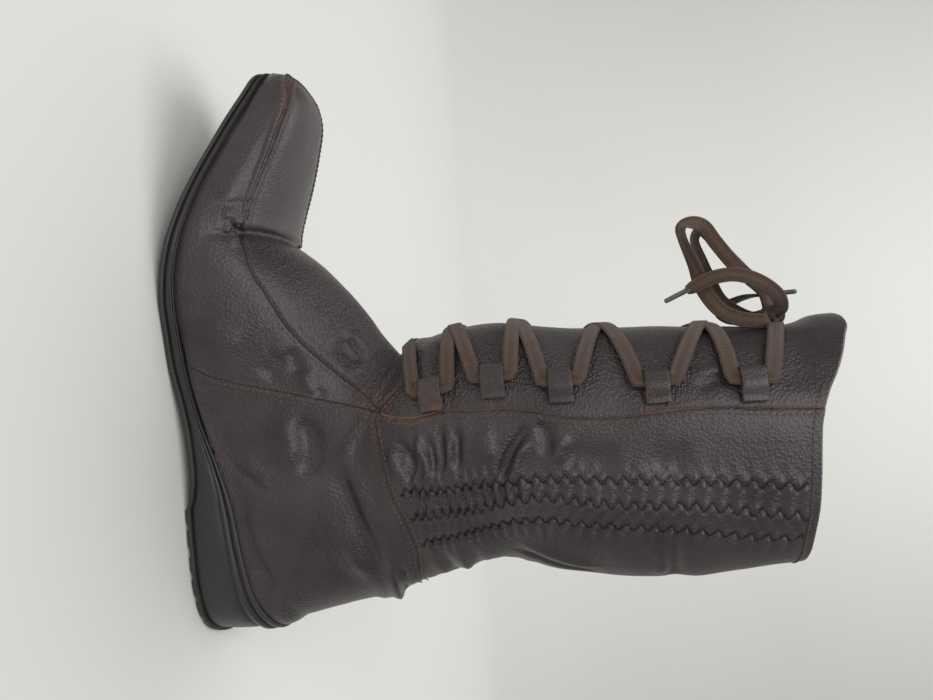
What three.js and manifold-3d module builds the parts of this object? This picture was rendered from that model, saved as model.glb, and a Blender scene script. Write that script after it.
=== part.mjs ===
// A left leather boot with a laced shaft: hollow upper, insole, moulded sole unit,
// tread, lace tabs, lace and bow. Millimetres, +Z up, the toe towards -X, the outer side -Y.
import * as THREE from "three";
import { mergeVertices } from "three/addons/utils/BufferGeometryUtils.js";
import Module from "manifold-3d";

const wasm = await Module();
wasm.setup();

// Driving sizes
const LENGTH = 278; // outsole, heel to toe
const BALL_WIDTH = 90; // outsole across the ball
const INSTEP_HEIGHT = 101; // floor to the bend where foot and shaft meet
const SHAFT_TOP = 306; // floor to the collar's front peak
const LEG_WIDTH = 86; // shaft across, as it lies slightly flattened
const UPPER_WALL = 2; // leather with its lining
const TREAD = 2.6; // outsole layer
const INSOLE = 3; // sock and its board
const GAP = 0.3; // clearance between pieces that touch
const SOLE_STEP = 1.4; // how far the tread stands out past the sole unit
const WELT = 0.8; // how far the sole's edge rises beside the upper
const RIM_BEVEL = 1.6; // how far the cup's wall slopes in at its rim
const RIM_SLANT = 0.3; // how far it has sloped in where the rib ends
const RIB = 1.2; // how far the moulded rib stands out
const RIB_FOOT = 0.5; // heights of the rib as shares of the sole unit's side
const RIB_FACE = [0.57, 0.78];
const RIB_TOP = 0.85;
const APRON_RIDGE = 1.5; // raised seam around the apron
const TREAD_EDGE = 1; // bevel around the tread's underside
const GROOVE_WIDTH = 3;
const GROOVE_DEPTH = 1.4;
const TAB_WIDTH = 10.5; // lace tab, along the shaft
const TAB_LENGTH = 14; // lace tab, around the shaft
const TAB_WALL = 1;
const TAB_TAIL = 0.8; // the tab's sewn end
const LACE_WIDTH = 7;
const LACE_THICKNESS = 1.5;
const CORD = 3; // the lace rolled round, as the bow's plain tube
const START_LIFT = 1.3; // lace's middle over the leather where it lies flat
const CROSSING_LIFT = 2.1; // the upper strand where two cross
const TAB_RUNOUT = 2.6; // straight stretch of lace past a tab's mouth
const LACE_PLAY = 1.2; // how much larger than the lace a tab's opening is
const KNOT = 11;
const KNOT_FORM = [0.8, 1, 0.9]; // the knot's shares of that along x, y and z
const TIP = 2.6; // metal lace tip, across
const TIP_LENGTH = 11;

// Counts
const RING_POINTS = 24;
const PLAN_SAMPLES = 24;
const SPAN_STEPS = 4;
const TUBE_STEPS = 2;
const TUBE_SIDES = 8;
const KNOT_FACES = [10, 8];
const COLLAR_STEPS = 34;
const BED_STEPS = 26;
const SEARCH_STEPS = 30;

// Sections of the upper. Each lies in a plane through a point of the front line and one of the
// back line, and across. "along" is a share of LENGTH from the heel; "level" is 0 on the floor,
// 1 at the instep and 2 at the collar's peak. Half widths are shares of half the ball width in
// the foot and of half the leg width in the shaft; "low" and "high" are the squareness of the
// section's lower and upper part, "lean" shifts its top inwards as a share of the half width.
const SECTIONS = [
  // frontAlong, frontLevel, backAlong, backLevel, outer, inner, widest, low, high, lean
  [0.995, 0.512, 0.997, 0.466, 0.2, 0.46, 0.5, 2.6, 2.6, 0],
  [0.985, 0.572, 0.984, 0.453, 0.3, 0.56, 0.42, 5, 2.8, 0],
  [0.962, 0.625, 0.957, 0.418, 0.41, 0.65, 0.38, 6, 2.8, 0.02],
  [0.929, 0.64, 0.921, 0.369, 0.5, 0.72, 0.36, 6, 2.8, 0.05],
  [0.884, 0.606, 0.876, 0.309, 0.6, 0.8, 0.36, 6, 2.7, 0.08],
  [0.828, 0.552, 0.821, 0.239, 0.72, 0.88, 0.36, 6, 2.6, 0.14],
  [0.773, 0.492, 0.765, 0.176, 0.83, 0.92, 0.36, 6, 2.5, 0.18],
  [0.732, 0.452, 0.724, 0.137, 0.88, 0.935, 0.38, 6, 2.4, 0.2],
  [0.717, 0.446, 0.707, 0.123, 0.9, 0.93, 0.4, 6, 2.4, 0.22],
  [0.706, 0.412, 0.694, 0.113, 0.915, 0.92, 0.38, 6, 2.2, 0.2],
  [0.687, 0.5, 0.675, 0.1, 0.935, 0.9, 0.34, 6, 2, 0.14],
  [0.648, 0.63, 0.624, 0.074, 0.945, 0.85, 0.28, 6, 1.9, 0.08],
  [0.6, 0.757, 0.539, 0.067, 0.9, 0.74, 0.26, 5, 1.8, 0.04],
  [0.553, 0.856, 0.459, 0.079, 0.82, 0.67, 0.26, 5, 1.8, 0],
  [0.515, 0.921, 0.375, 0.111, 0.75, 0.65, 0.28, 4.6, 1.9, 0],
  [0.488, 0.977, 0.252, 0.165, 0.74, 0.69, 0.32, 3.8, 1.9, 0],
  [0.477, 1.003, 0.119, 0.205, 0.75, 0.74, 0.4, 3, 2, 0],
  [0.481, 1.012, 0.047, 0.228, 0.75, 0.74, 0.46, 3, 2, 0],
  [0.488, 1.021, 0.019, 0.295, 0.75, 0.74, 0.48, 3, 2, 0],
  [0.494, 1.031, 0.024, 0.437, 0.76, 0.76, 0.48, 2.6, 2, 0],
  [0.503, 1.05, 0.036, 0.609, 0.8, 0.8, 0.48, 2.1, 2, 0],
  [0.505, 1.078, 0.047, 0.791, 0.85, 0.85, 0.48, 2.1, 2.1, 0],
  [0.51, 1.102, 0.046, 0.88, 0.87, 0.87, 0.48, 2.1, 2.1, 0],
  [0.515, 1.135, 0.075, 1.017, 0.88, 0.88, 0.48, 2.1, 2.1, 0],
  [0.519, 1.18, 0.092, 1.106, 0.9, 0.9, 0.48, 2.1, 2.1, 0],
  [0.521, 1.245, 0.113, 1.218, 0.92, 0.92, 0.48, 2.1, 2.1, 0],
  [0.515, 1.299, 0.103, 1.288, 0.94, 0.94, 0.5, 2.1, 2.1, 0],
  [0.508, 1.355, 0.091, 1.344, 0.96, 0.96, 0.5, 2.1, 2.1, 0],
  [0.5, 1.449, 0.08, 1.436, 0.98, 0.98, 0.5, 2.15, 2.15, 0],
  [0.496, 1.57, 0.072, 1.558, 1, 1, 0.5, 2.15, 2.15, 0],
  [0.494, 1.617, 0.075, 1.605, 1, 1, 0.5, 2.15, 2.15, 0],
  [0.49, 1.673, 0.072, 1.661, 1, 1, 0.5, 2.15, 2.15, 0],
  [0.486, 1.767, 0.079, 1.754, 1, 1, 0.5, 2.15, 2.15, 0],
  [0.48, 1.851, 0.086, 1.839, 0.99, 0.99, 0.5, 2.15, 2.15, 0],
  [0.484, 1.918, 0.091, 1.906, 0.98, 0.98, 0.5, 2.15, 2.15, 0],
  [0.493, 1.969, 0.095, 1.957, 0.98, 0.98, 0.5, 2.15, 2.15, 0],
  [0.493, 2.08, 0.097, 2.07, 0.98, 0.98, 0.5, 2.15, 2.15, 0],
];
const FINE_ROWS = 15; // up to here a section is added between rows
const LEG_ROW = 19; // first section whose widths follow the leg
const INNER_START = 2; // the lining's hollow begins at this section, behind the toe's tip
const APRON_ROWS = [2, 8]; // sections that the raised seam runs over
const APRON_POINTS = [9, 17]; // ring points that carry the raised seam, outer and inner side
const LACED_ROW = 11; // heights on the shaft are looked up in the sections from here on
const ROW_REACH = 0.25; // neighbours used for the upper's normal, in sections and in turns
const TURN_REACH = 0.01;

// Outsole in plan: along the length, outer and inner half width as shares of half the ball width
const PLAN = [
  [0, 0, 0],
  [0.012, 0.34, 0.34],
  [0.045, 0.58, 0.58],
  [0.1, 0.71, 0.71],
  [0.17, 0.75, 0.74],
  [0.26, 0.76, 0.69],
  [0.38, 0.79, 0.63],
  [0.5, 0.9, 0.71],
  [0.6, 0.99, 0.86],
  [0.66, 1, 0.95],
  [0.72, 0.95, 1],
  [0.8, 0.81, 0.95],
  [0.88, 0.62, 0.83],
  [0.94, 0.48, 0.73],
  [0.978, 0.38, 0.64],
  [0.996, 0.2, 0.46],
  [1, -0.13, 0.13],
];

// Side profiles: along the length, height as a share of INSTEP_HEIGHT
const FLOOR_LINE = [
  [0, 0.03], [0.015, 0.008], [0.035, 0], [0.237, 0], [0.262, 0.022], [0.303, 0.036], [0.353, 0.034],
  [0.414, 0.022], [0.464, 0.006], [0.495, 0], [0.581, 0], [0.616, 0.01], [0.656, 0.028], [0.697, 0.055],
  [0.737, 0.09], [0.778, 0.132], [0.818, 0.18], [0.858, 0.23], [0.899, 0.283], [0.939, 0.342], [0.97, 0.388],
  [1, 0.418],
];
const FEATHER_LINE = [
  [0, 0.235], [0.078, 0.217], [0.158, 0.194], [0.241, 0.17], [0.317, 0.141], [0.38, 0.109],
  [0.428, 0.086], [0.495, 0.07], [0.562, 0.066], [0.616, 0.073], [0.656, 0.09], [0.697, 0.115],
  [0.737, 0.148],
  [0.778, 0.188], [0.818, 0.235], [0.858, 0.286], [0.899, 0.339], [0.939, 0.394], [0.97, 0.437], [1, 0.468],
];
const RIM_LINE = [
  [0, 0.36], [0.026, 0.344], [0.078, 0.296], [0.157, 0.258], [0.241, 0.227], [0.317, 0.173],
  [0.38, 0.118], [0.417, 0.094],
];
// Collar edge: place across the shaft's depth from its front, height as a share of the leg
const COLLAR_LINE = [
  [-0.1, 0.985], [-0.02, 0.999], [0, 1], [0.035, 0.995], [0.08, 0.978], [0.156, 0.956], [0.229, 0.934],
  [0.288, 0.915], [0.353, 0.9], [0.426, 0.89], [0.573, 0.883], [0.72, 0.878], [0.857, 0.873],
  [0.95, 0.876], [1.1, 0.884],
];
const COLLAR_LID = 2; // the cut above the collar ends this many times the boot's height up
const OPENING_LENGTH = 0.86; // share of the plan that the lasting margin leaves open underneath
const OPENING_WIDTH = 0.6;
const OPENING_END = 2; // clearance at the opening's ends, in gaps
const BED_REACH = [-0.1, 1.1]; // the footbed's upper face is cut between these, along

// Grooves across the tread: first, end of the row along, how many
const FOREFOOT_GROOVES = [0.505, 0.845, 9];
const HEEL_GROOVES = [0.045, 0.295, 6];

// Lace tabs and crossings: heights on the shaft as levels, place around it as a share from the front
const TAB_LEVELS = [1.1, 1.237, 1.38, 1.578, 1.769];
const TAB_AROUND = 0.31;
const TAB_SIGHT = 0.03; // a tab turns with the leather this far to its front and back
const CROSSING_LEVELS = [1.14, 1.29, 1.481, 1.712];
const START_LEVEL = 1.026;
const KNOT_LEVEL = 1.872;
const LACE_END = [1.864, 0.065]; // both strands end beside the knot: level, share around
// Cross-section of the flat lace: shares of half its width and half its thickness
const LACE_SECTION = [[1, 0], [0.8, 1], [-0.8, 1], [-1, 0], [-0.8, -1], [0.8, -1]];

// Bow, hand-placed: x, y, z of each point from the knot outwards, and back to it on a loop
const BOW_LONG_LOOP = [
  [3, -9, 273], [1, -10, 262], [-4, -9, 254], [-14, -7, 248], [-26, -5, 245], [-38, -4, 241],
  [-44, -3, 241], [-46, -1, 246], [-44, 1, 252], [-36, 1, 257], [-25, -1, 264], [-17, -2, 271],
  [-10.5, -3, 276],
];
const BOW_SHORT_LOOP = [
  [1, 9, 272], [-4, 11, 262], [-10, 12, 256], [-19, 11, 253], [-29, 10, 251], [-39, 9, 249],
  [-43, 8, 252], [-39, 8, 257], [-29, 7, 264], [-20, 6, 271], [-9, 8, 281.5],
];
const BOW_OUTER_END = [
  [-3, -10, 281], [-8, -13, 279], [-13, -14, 274], [-17, -15, 267], [-19, -15, 259],
  [-18, -14, 250], [-15, -13, 243], [-13.5, -12.5, 239.5],
];
const BOW_INNER_END = [
  [2.5, 9, 284], [1, 17, 277], [2, 25, 269], [-2, 30, 264], [-7, 29, 267], [-10, 22, 274],
  [-10, 14, 280], [-10, 11, 284],
];

const halfBall = BALL_WIDTH / 2;
const halfLeg = LEG_WIDTH / 2;
const legRise = SHAFT_TOP - INSTEP_HEIGHT;
const xAt = (along) => (0.5 - along) * LENGTH;
const alongAt = (x) => 0.5 - x / LENGTH;
const heightOf = (level) => (level <= 1 ? level * INSTEP_HEIGHT : INSTEP_HEIGHT + (level - 1) * legRise);

// Curves through a table's rows
function between(rows, position) {
  const last = rows.length - 1;
  const i = Math.min(Math.floor(position), last - 1);
  const t = position - i;
  const row = (k) => rows[Math.min(Math.max(k, 0), last)];
  return row(i).map((value, c) => {
    const [a, b, d, e] = [row(i - 1)[c], value, row(i + 1)[c], row(i + 2)[c]];
    const bend = (2 * a - 5 * b + 4 * d - e) * t * t + (3 * b - a - 3 * d + e) * t * t * t;
    return b + 0.5 * ((d - a) * t + bend);
  });
}

// Height of a side profile, without overshoot between its rows
function profile(table, along) {
  const last = table.length - 1;
  const at = Math.min(Math.max(along, table[0][0]), table[last][0]);
  const i = Math.min(Math.max(table.findIndex((row) => row[0] >= at) - 1, 0), last - 1);
  const slope = (k) => (table[k + 1][1] - table[k][1]) / (table[k + 1][0] - table[k][0]);
  const tangent = (k) => {
    const before = slope(Math.max(k - 1, 0));
    const after = slope(Math.min(k, last - 1));
    return before * after <= 0 ? 0 : (2 * before * after) / (before + after);
  };
  const width = table[i + 1][0] - table[i][0];
  const t = (at - table[i][0]) / width;
  const rise = table[i + 1][1] - table[i][1];
  const ease = t * t * (3 - 2 * t);
  const lead = (t * t * t - 2 * t * t + t) * width * tangent(i);
  const tail = (t * t * t - t * t) * width * tangent(i + 1);
  return table[i][1] + rise * ease + lead + tail;
}

// Closed body from rings of equally many points, with a triangulated cap on each end
function bodyOf(rings, capPairs) {
  const count = rings[0].length;
  const positions = rings.flat().flatMap((p) => [p.x, p.y, p.z]);
  const faces = [];
  for (let r = 0; r + 1 < rings.length; r += 1) {
    for (let k = 0; k < count; k += 1) {
      const a = r * count + k;
      const b = r * count + ((k + 1) % count);
      faces.push(a, b, b + count, a, b + count, a + count);
    }
  }
  const top = (rings.length - 1) * count;
  for (const [a, b, c] of capPairs(count)) {
    faces.push(c, b, a, top + a, top + b, top + c);
  }
  const geometry = new THREE.BufferGeometry();
  geometry.setAttribute("position", new THREE.Float32BufferAttribute(positions, 3));
  geometry.setIndex(faces);
  const solid = solidOf(geometry);
  return solid.volume() > 0 ? solid : solidOf(flipped(geometry));
}

function flipped(geometry) {
  const index = geometry.getIndex().array;
  const turned = [];
  for (let i = 0; i < index.length; i += 3) {
    turned.push(index[i], index[i + 2], index[i + 1]);
  }
  const copy = geometry.clone();
  copy.setIndex(turned);
  return copy;
}

// A cap of strips between the ring's two halves, point k facing point count - k
function strips(count) {
  const triangles = [];
  for (let k = 0; k < count / 2; k += 1) {
    const across = count - k;
    if (k > 0) {
      triangles.push([k, k + 1, across % count]);
    }
    if (across - 1 > k + 1) {
      triangles.push([k + 1, across - 1, across % count]);
    }
  }
  return triangles;
}

function solidOf(geometry) {
  const bare = geometry.clone();
  bare.deleteAttribute("normal");
  bare.deleteAttribute("uv");
  const merged = mergeVertices(bare, 1e-4);
  const index = merged.getIndex().array;
  const kept = [];
  for (let i = 0; i < index.length; i += 3) {
    const [a, b, c] = [index[i], index[i + 1], index[i + 2]];
    if (a !== b && b !== c && c !== a) {
      kept.push(a, b, c);
    }
  }
  const vertProperties = new Float32Array(merged.getAttribute("position").array);
  const triVerts = new Uint32Array(kept);
  return new wasm.Manifold(new wasm.Mesh({ numProp: 3, vertProperties, triVerts }));
}

function geometryOf(solid) {
  const mesh = solid.getMesh();
  const geometry = new THREE.BufferGeometry();
  geometry.setAttribute("position", new THREE.BufferAttribute(new Float32Array(mesh.vertProperties), 3));
  geometry.setIndex(new THREE.BufferAttribute(new Uint32Array(mesh.triVerts), 1));
  geometry.computeVertexNormals();
  return geometry;
}

// Upper

const sections = SECTIONS.map((row, index) => {
  const half = index < LEG_ROW ? halfBall : halfLeg;
  const [frontAlong, frontLevel, backAlong, backLevel, outer, inner, ...form] = row;
  const front = [xAt(frontAlong), heightOf(frontLevel)];
  const back = [xAt(backAlong), heightOf(backLevel)];
  return [...front, ...back, outer * half, inner * half, ...form];
});

// Point of the upper's outside: position along the sections, turn 0 at the back line to 1 round again
function upperPoint(position, turn) {
  const [fx, fz, bx, bz, outer, inner, widest, low, high, lean] = between(sections, position);
  const angle = turn * 2 * Math.PI;
  const cosine = Math.cos(angle);
  const sine = Math.sin(angle);
  const square = cosine > 0 ? low : high;
  const reach = Math.abs(cosine) ** (2 / square);
  const share = cosine > 0 ? widest * (1 - reach) : widest + (1 - widest) * reach;
  const side = sine > 0 ? -outer : inner;
  const across = side * Math.abs(sine) ** (2 / square) + lean * outer * share * share;
  return new THREE.Vector3(bx + (fx - bx) * share, across, bz + (fz - bz) * share);
}

function upperNormal(position, turn) {
  const low = Math.max(position - ROW_REACH, 0);
  const high = Math.min(position + ROW_REACH, sections.length - 1);
  const lengthwise = upperPoint(high, turn).sub(upperPoint(low, turn));
  const around = upperPoint(position, turn + TURN_REACH).sub(upperPoint(position, turn - TURN_REACH));
  return lengthwise.cross(around).normalize();
}

// The upper's form, moved outwards by "grow"; the raised seam is on the outside only
function upperForm(grow, start, ridge) {
  const rings = [];
  for (let position = start; position < sections.length; position += position < FINE_ROWS ? 0.5 : 1) {
    const ring = [];
    for (let k = 0; k < RING_POINTS; k += 1) {
      const turn = k / RING_POINTS;
      const raised = position >= APRON_ROWS[0] && position <= APRON_ROWS[1] && APRON_POINTS.includes(k);
      const lift = grow + (raised ? ridge : 0);
      ring.push(upperPoint(position, turn).addScaledVector(upperNormal(position, turn), lift));
    }
    rings.push(ring);
  }
  return bodyOf(rings, strips);
}

// All that lies over a line seen from the side, right across the boot; the line's points are x, z
function allAbove(line) {
  const lid = COLLAR_LID * SHAFT_TOP;
  const corners = [...line, [line[line.length - 1][0], lid], [line[0][0], lid]];
  const shape = new THREE.Shape(corners.map(([x, z]) => new THREE.Vector2(x, z)));
  const geometry = new THREE.ExtrudeGeometry(shape, { depth: LENGTH, bevelEnabled: false });
  geometry.rotateX(Math.PI / 2);
  geometry.translate(0, LENGTH / 2, 0);
  return solidOf(geometry);
}

function aboveCollar() {
  const shaft = sections[sections.length - 1];
  const first = COLLAR_LINE[0][0];
  const last = COLLAR_LINE[COLLAR_LINE.length - 1][0];
  const line = [];
  for (let k = 0; k <= COLLAR_STEPS; k += 1) {
    const across = first + (k / COLLAR_STEPS) * (last - first);
    const height = INSTEP_HEIGHT + profile(COLLAR_LINE, across) * legRise;
    line.push([shaft[0] + across * (shaft[2] - shaft[0]), height]);
  }
  return allAbove(line);
}

// Outsole outline in plan, as a loop of points with outward normals; the first half is the outer side
function planLoop() {
  const last = PLAN.length - 1;
  const mirrored = ([along, outer, inner]) => [along, -inner, -outer];
  const rows = [mirrored(PLAN[1]), ...PLAN, mirrored(PLAN[last - 1])];
  const outerSide = [];
  const innerSide = [];
  for (let k = 0; k <= PLAN_SAMPLES; k += 1) {
    const [along, outer, inner] = between(rows, 1 + (k / PLAN_SAMPLES) * last);
    outerSide.push(new THREE.Vector2(xAt(along), -outer * halfBall));
    innerSide.push(new THREE.Vector2(xAt(along), inner * halfBall));
  }
  const loop = [...outerSide, ...innerSide.slice(1, -1).reverse()];
  return loop.map((point, k) => {
    const ahead = loop[(k + 1) % loop.length].clone().sub(loop[(k + loop.length - 1) % loop.length]);
    return { point, normal: new THREE.Vector2(ahead.y, -ahead.x).normalize().negate() };
  });
}

const plan = planLoop();

// A layer of the sole from levels: each has how far it grows past the plan and a height function
function layer(levels) {
  const rings = levels.map(({ grow, height }) =>
    plan.map(({ point, normal }) => {
      const x = point.x + normal.x * grow;
      return new THREE.Vector3(x, point.y + normal.y * grow, height(alongAt(x)));
    }),
  );
  return bodyOf(rings, strips);
}

const floorAt = (along) => profile(FLOOR_LINE, along) * INSTEP_HEIGHT;
const featherAt = (along) => profile(FEATHER_LINE, along) * INSTEP_HEIGHT;
const rimAt = (along) => {
  const edge = featherAt(along) + WELT;
  const last = RIM_LINE[RIM_LINE.length - 1][0];
  return along > last ? edge : Math.max(profile(RIM_LINE, along) * INSTEP_HEIGHT, edge);
};

function outsole() {
  const body = layer([
    { grow: -TREAD_EDGE, height: floorAt },
    { grow: 0, height: (along) => floorAt(along) + TREAD_EDGE },
    { grow: 0, height: (along) => floorAt(along) + TREAD },
  ]);
  const places = [FOREFOOT_GROOVES, HEEL_GROOVES].flatMap(([first, end, count]) =>
    Array.from({ length: count }, (unused, k) => first + (k * (end - first)) / count),
  );
  const reach = GROOVE_WIDTH / LENGTH;
  return places.reduce((solid, along) => {
    const rise = floorAt(along + reach) - floorAt(along - reach);
    const slope = Math.atan2(rise, 2 * GROOVE_WIDTH);
    const groove = new THREE.BoxGeometry(GROOVE_WIDTH, 2 * BALL_WIDTH, 2 * GROOVE_DEPTH);
    groove.rotateY(slope);
    groove.translate(xAt(along), 0, floorAt(along));
    return solid.subtract(solidOf(groove));
  }, body);
}

// The moulded sole: wedge, cup and side rib, hollowed by the upper that sits in it
function soleUnit() {
  const from = (along) => floorAt(along) + TREAD + GAP;
  const share = (part) => (along) => from(along) + part * (rimAt(along) - from(along));
  const body = layer([
    { grow: -SOLE_STEP, height: share(0) },
    { grow: -SOLE_STEP, height: share(RIB_FOOT) },
    { grow: RIB - SOLE_STEP, height: share(RIB_FACE[0]) },
    { grow: RIB - SOLE_STEP, height: share(RIB_FACE[1]) },
    { grow: -SOLE_STEP - RIM_SLANT, height: share(RIB_TOP) },
    { grow: -SOLE_STEP - RIM_BEVEL, height: share(1) },
  ]);
  return body.subtract(upperForm(GAP, 0, 0));
}

// What the lasted margin leaves open under the foot, between two heights above the feather line
function footOpening(inset, low, high) {
  const length = OPENING_LENGTH - (2 * OPENING_END * inset) / LENGTH;
  const ring = (height) =>
    plan.map(({ point }) => {
      const x = point.x * length;
      const y = point.y * OPENING_WIDTH - Math.sign(point.y) * Math.min(inset, Math.abs(point.y));
      return new THREE.Vector3(x, y, featherAt(alongAt(x)) + height);
    });
  return bodyOf([ring(low), ring(high)], strips);
}

function upper() {
  const inside = upperForm(-UPPER_WALL, INNER_START, 0);
  const shell = upperForm(0, 0, APRON_RIDGE).subtract(inside);
  return shell.subtract(aboveCollar()).subtract(footOpening(0, -2 * UPPER_WALL, 2 * UPPER_WALL));
}

function insole() {
  const hollow = upperForm(-UPPER_WALL - GAP, INNER_START + 1, 0);
  const line = [];
  for (let k = 0; k <= BED_STEPS; k += 1) {
    const along = BED_REACH[0] + (k / BED_STEPS) * (BED_REACH[1] - BED_REACH[0]);
    line.push([xAt(along), featherAt(along) + UPPER_WALL + GAP + INSOLE]);
  }
  const plug = footOpening(GAP, -INSOLE, UPPER_WALL + GAP + INSOLE / 2).intersect(upperForm(0, 0, 0));
  return hollow.subtract(allAbove(line)).add(plug);
}

// Lace and its tabs

// Place on the shaft: level, share around from the front (outer side negative), distance off the leather
function onShaft(level, around, lift) {
  const turn = 0.5 + around / 2;
  const target = heightOf(level);
  let low = LACED_ROW;
  let high = sections.length - 1;
  for (let k = 0; k < SEARCH_STEPS; k += 1) {
    const middle = (low + high) / 2;
    if (upperPoint(middle, turn).z < target) {
      low = middle;
    } else {
      high = middle;
    }
  }
  const normal = upperNormal(low, turn);
  return { point: upperPoint(low, turn).addScaledVector(normal, lift), normal };
}

const tabHole = LACE_THICKNESS + LACE_PLAY;
const tabLift = GAP + TAB_WALL + tabHole / 2 + GAP; // height of the hole's middle over the leather

function laceTab(level, side) {
  const width = LACE_WIDTH + LACE_PLAY;
  const outerHeight = tabHole + 2 * TAB_WALL;
  const tail = TAB_LENGTH - width / 2 - TAB_WALL;
  const nose = width / 2 + TAB_WALL;
  const facing = side < 0 ? 1 : -1;
  const corners = (points) => points.map(([x, y]) => new THREE.Vector2(facing * x, y));
  const shape = new THREE.Shape(
    corners([
      [nose, -outerHeight / 2], [nose, outerHeight / 2], [-nose, outerHeight / 2],
      [-tail, -outerHeight / 2 + TAB_TAIL], [-tail, -outerHeight / 2],
    ]),
  );
  const hole = new THREE.Path(
    corners([
      [width / 2, -tabHole / 2], [-width / 2, -tabHole / 2],
      [-width / 2, tabHole / 2], [width / 2, tabHole / 2],
    ]),
  );
  shape.holes.push(hole);
  const geometry = new THREE.ExtrudeGeometry(shape, { depth: TAB_WIDTH, bevelEnabled: false });
  geometry.translate(0, 0, -TAB_WIDTH / 2);
  const { point, normal, upward, front } = tabFrame(level, side);
  geometry.applyMatrix4(new THREE.Matrix4().makeBasis(front, normal, upward).setPosition(point));
  return solidOf(geometry).subtract(upperForm(GAP, LEG_ROW, 0));
}

// Middle of a tab's opening, with its directions to the boot's front, outwards and up the shaft
function tabFrame(level, side) {
  const { point, normal } = onShaft(level, side * TAB_AROUND, tabLift);
  const forward = onShaft(level, side * (TAB_AROUND - TAB_SIGHT), tabLift).point;
  forward.sub(onShaft(level, side * (TAB_AROUND + TAB_SIGHT), tabLift).point).normalize();
  const upward = forward.clone().cross(normal).normalize().multiplyScalar(side < 0 ? 1 : -1);
  const front = normal.clone().cross(upward);
  return { point, normal, upward, front };
}

// Stations of the lace across the leather, through rows of level, share around and lift
function freeSpan(rows) {
  const stations = [];
  const steps = (rows.length - 1) * SPAN_STEPS;
  for (let k = 1; k < steps; k += 1) {
    stations.push(onShaft(...between(rows, k / SPAN_STEPS)));
  }
  return stations;
}

// Stations of the lace straight through a tab, a little past both mouths
function tabSpan(level, side) {
  const { point, normal, upward } = tabFrame(level, side);
  const half = TAB_WIDTH / 2;
  return [-half - TAB_RUNOUT, -half, half, half + TAB_RUNOUT].map((offset) => ({
    point: point.clone().addScaledVector(upward, offset), normal, tangent: upward,
  }));
}

// One strand from the start bar's middle to the knot, threaded through a tab on alternate sides
function laceStrand(side) {
  const mouth = (TAB_WIDTH / 2 + TAB_RUNOUT) / legRise;
  let from = [START_LEVEL, 0, START_LIFT];
  const stations = [onShaft(...from)];
  TAB_LEVELS.forEach((level, index) => {
    const here = index % 2 === 0 ? side : -side;
    const entry = [level - mouth, here * TAB_AROUND, tabLift];
    const exit = [level + mouth, here * TAB_AROUND, tabLift];
    const lift = side > 0 ? CROSSING_LIFT : START_LIFT;
    const crossing = index === 0 ? [] : [[CROSSING_LEVELS[index - 1], 0, lift]];
    stations.push(...freeSpan([from, ...crossing, entry]), ...tabSpan(level, here));
    from = exit;
  });
  const last = TAB_LEVELS.length % 2 === 1 ? side : -side;
  const finish = [LACE_END[0], last * LACE_END[1], CROSSING_LIFT];
  stations.push(...freeSpan([from, finish]), onShaft(...finish));
  const rings = stations.map((station, k) => {
    const { point, normal } = station;
    const ahead = stations[Math.min(k + 1, stations.length - 1)].point;
    const tangent = station.tangent ?? ahead.clone().sub(stations[Math.max(k - 1, 0)].point).normalize();
    const across = tangent.clone().cross(normal).normalize();
    const out = across.clone().cross(tangent).normalize();
    return LACE_SECTION.map(([w, h]) => {
      const edge = point.clone().addScaledVector(across, (w * LACE_WIDTH) / 2);
      return edge.addScaledVector(out, (h * LACE_THICKNESS) / 2);
    });
  });
  return bodyOf(rings, strips);
}

// Bow

function tube(points, diameter) {
  const curve = new THREE.CatmullRomCurve3(points.map((p) => new THREE.Vector3(...p)));
  const steps = TUBE_STEPS * (points.length - 1);
  const section = new THREE.Shape();
  for (let k = 0; k < TUBE_SIDES; k += 1) {
    const angle = (k / TUBE_SIDES) * 2 * Math.PI;
    const [x, y] = [(Math.cos(angle) * diameter) / 2, (Math.sin(angle) * diameter) / 2];
    if (k === 0) {
      section.moveTo(x, y);
    } else {
      section.lineTo(x, y);
    }
  }
  section.closePath();
  return solidOf(new THREE.ExtrudeGeometry(section, { steps, extrudePath: curve, bevelEnabled: false }));
}

// A metal tip that carries on from a lace end
function laceTip(end) {
  const [before, last] = end.slice(-2).map((p) => new THREE.Vector3(...p));
  const direction = last.clone().sub(before).normalize();
  const start = last.clone().addScaledVector(direction, GAP);
  const finish = start.clone().addScaledVector(direction, TIP_LENGTH);
  return tube([start.toArray(), finish.toArray()], TIP);
}

const knotCentre = onShaft(KNOT_LEVEL, 0, (KNOT_FORM[0] * KNOT) / 2 + GAP).point;

function bowKnot() {
  const geometry = new THREE.SphereGeometry(KNOT / 2, ...KNOT_FACES);
  geometry.scale(...KNOT_FORM);
  geometry.translate(...knotCentre.toArray());
  return solidOf(geometry);
}

// Where a strand on its way to a point leaves the knot
function knotFace(target) {
  const direction = new THREE.Vector3(...target).sub(knotCentre).normalize();
  const [a, b, c] = KNOT_FORM.map((share) => (share * KNOT) / 2);
  const radius = 1 / Math.hypot(direction.x / a, direction.y / b, direction.z / c);
  return knotCentre.clone().addScaledVector(direction, radius + GAP).toArray();
}

const bowEnd = (points) => tube([knotFace(points[0]), ...points], CORD);
const bowLoop = (points) => tube([knotFace(points[0]), ...points, knotFace(points[points.length - 1])], CORD);

// Assembly

const LEATHER = { color: 0x3b3032, roughness: 0.42, metalness: 0 };
const RUBBER = { color: 0x232222, roughness: 0.7, metalness: 0 };
const LINING = { color: 0x6b5848, roughness: 0.85, metalness: 0 };
const WOVEN = { color: 0x463730, roughness: 0.9, metalness: 0 };
const METAL = { color: 0x5b5f5a, roughness: 0.4, metalness: 0.6 };

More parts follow.
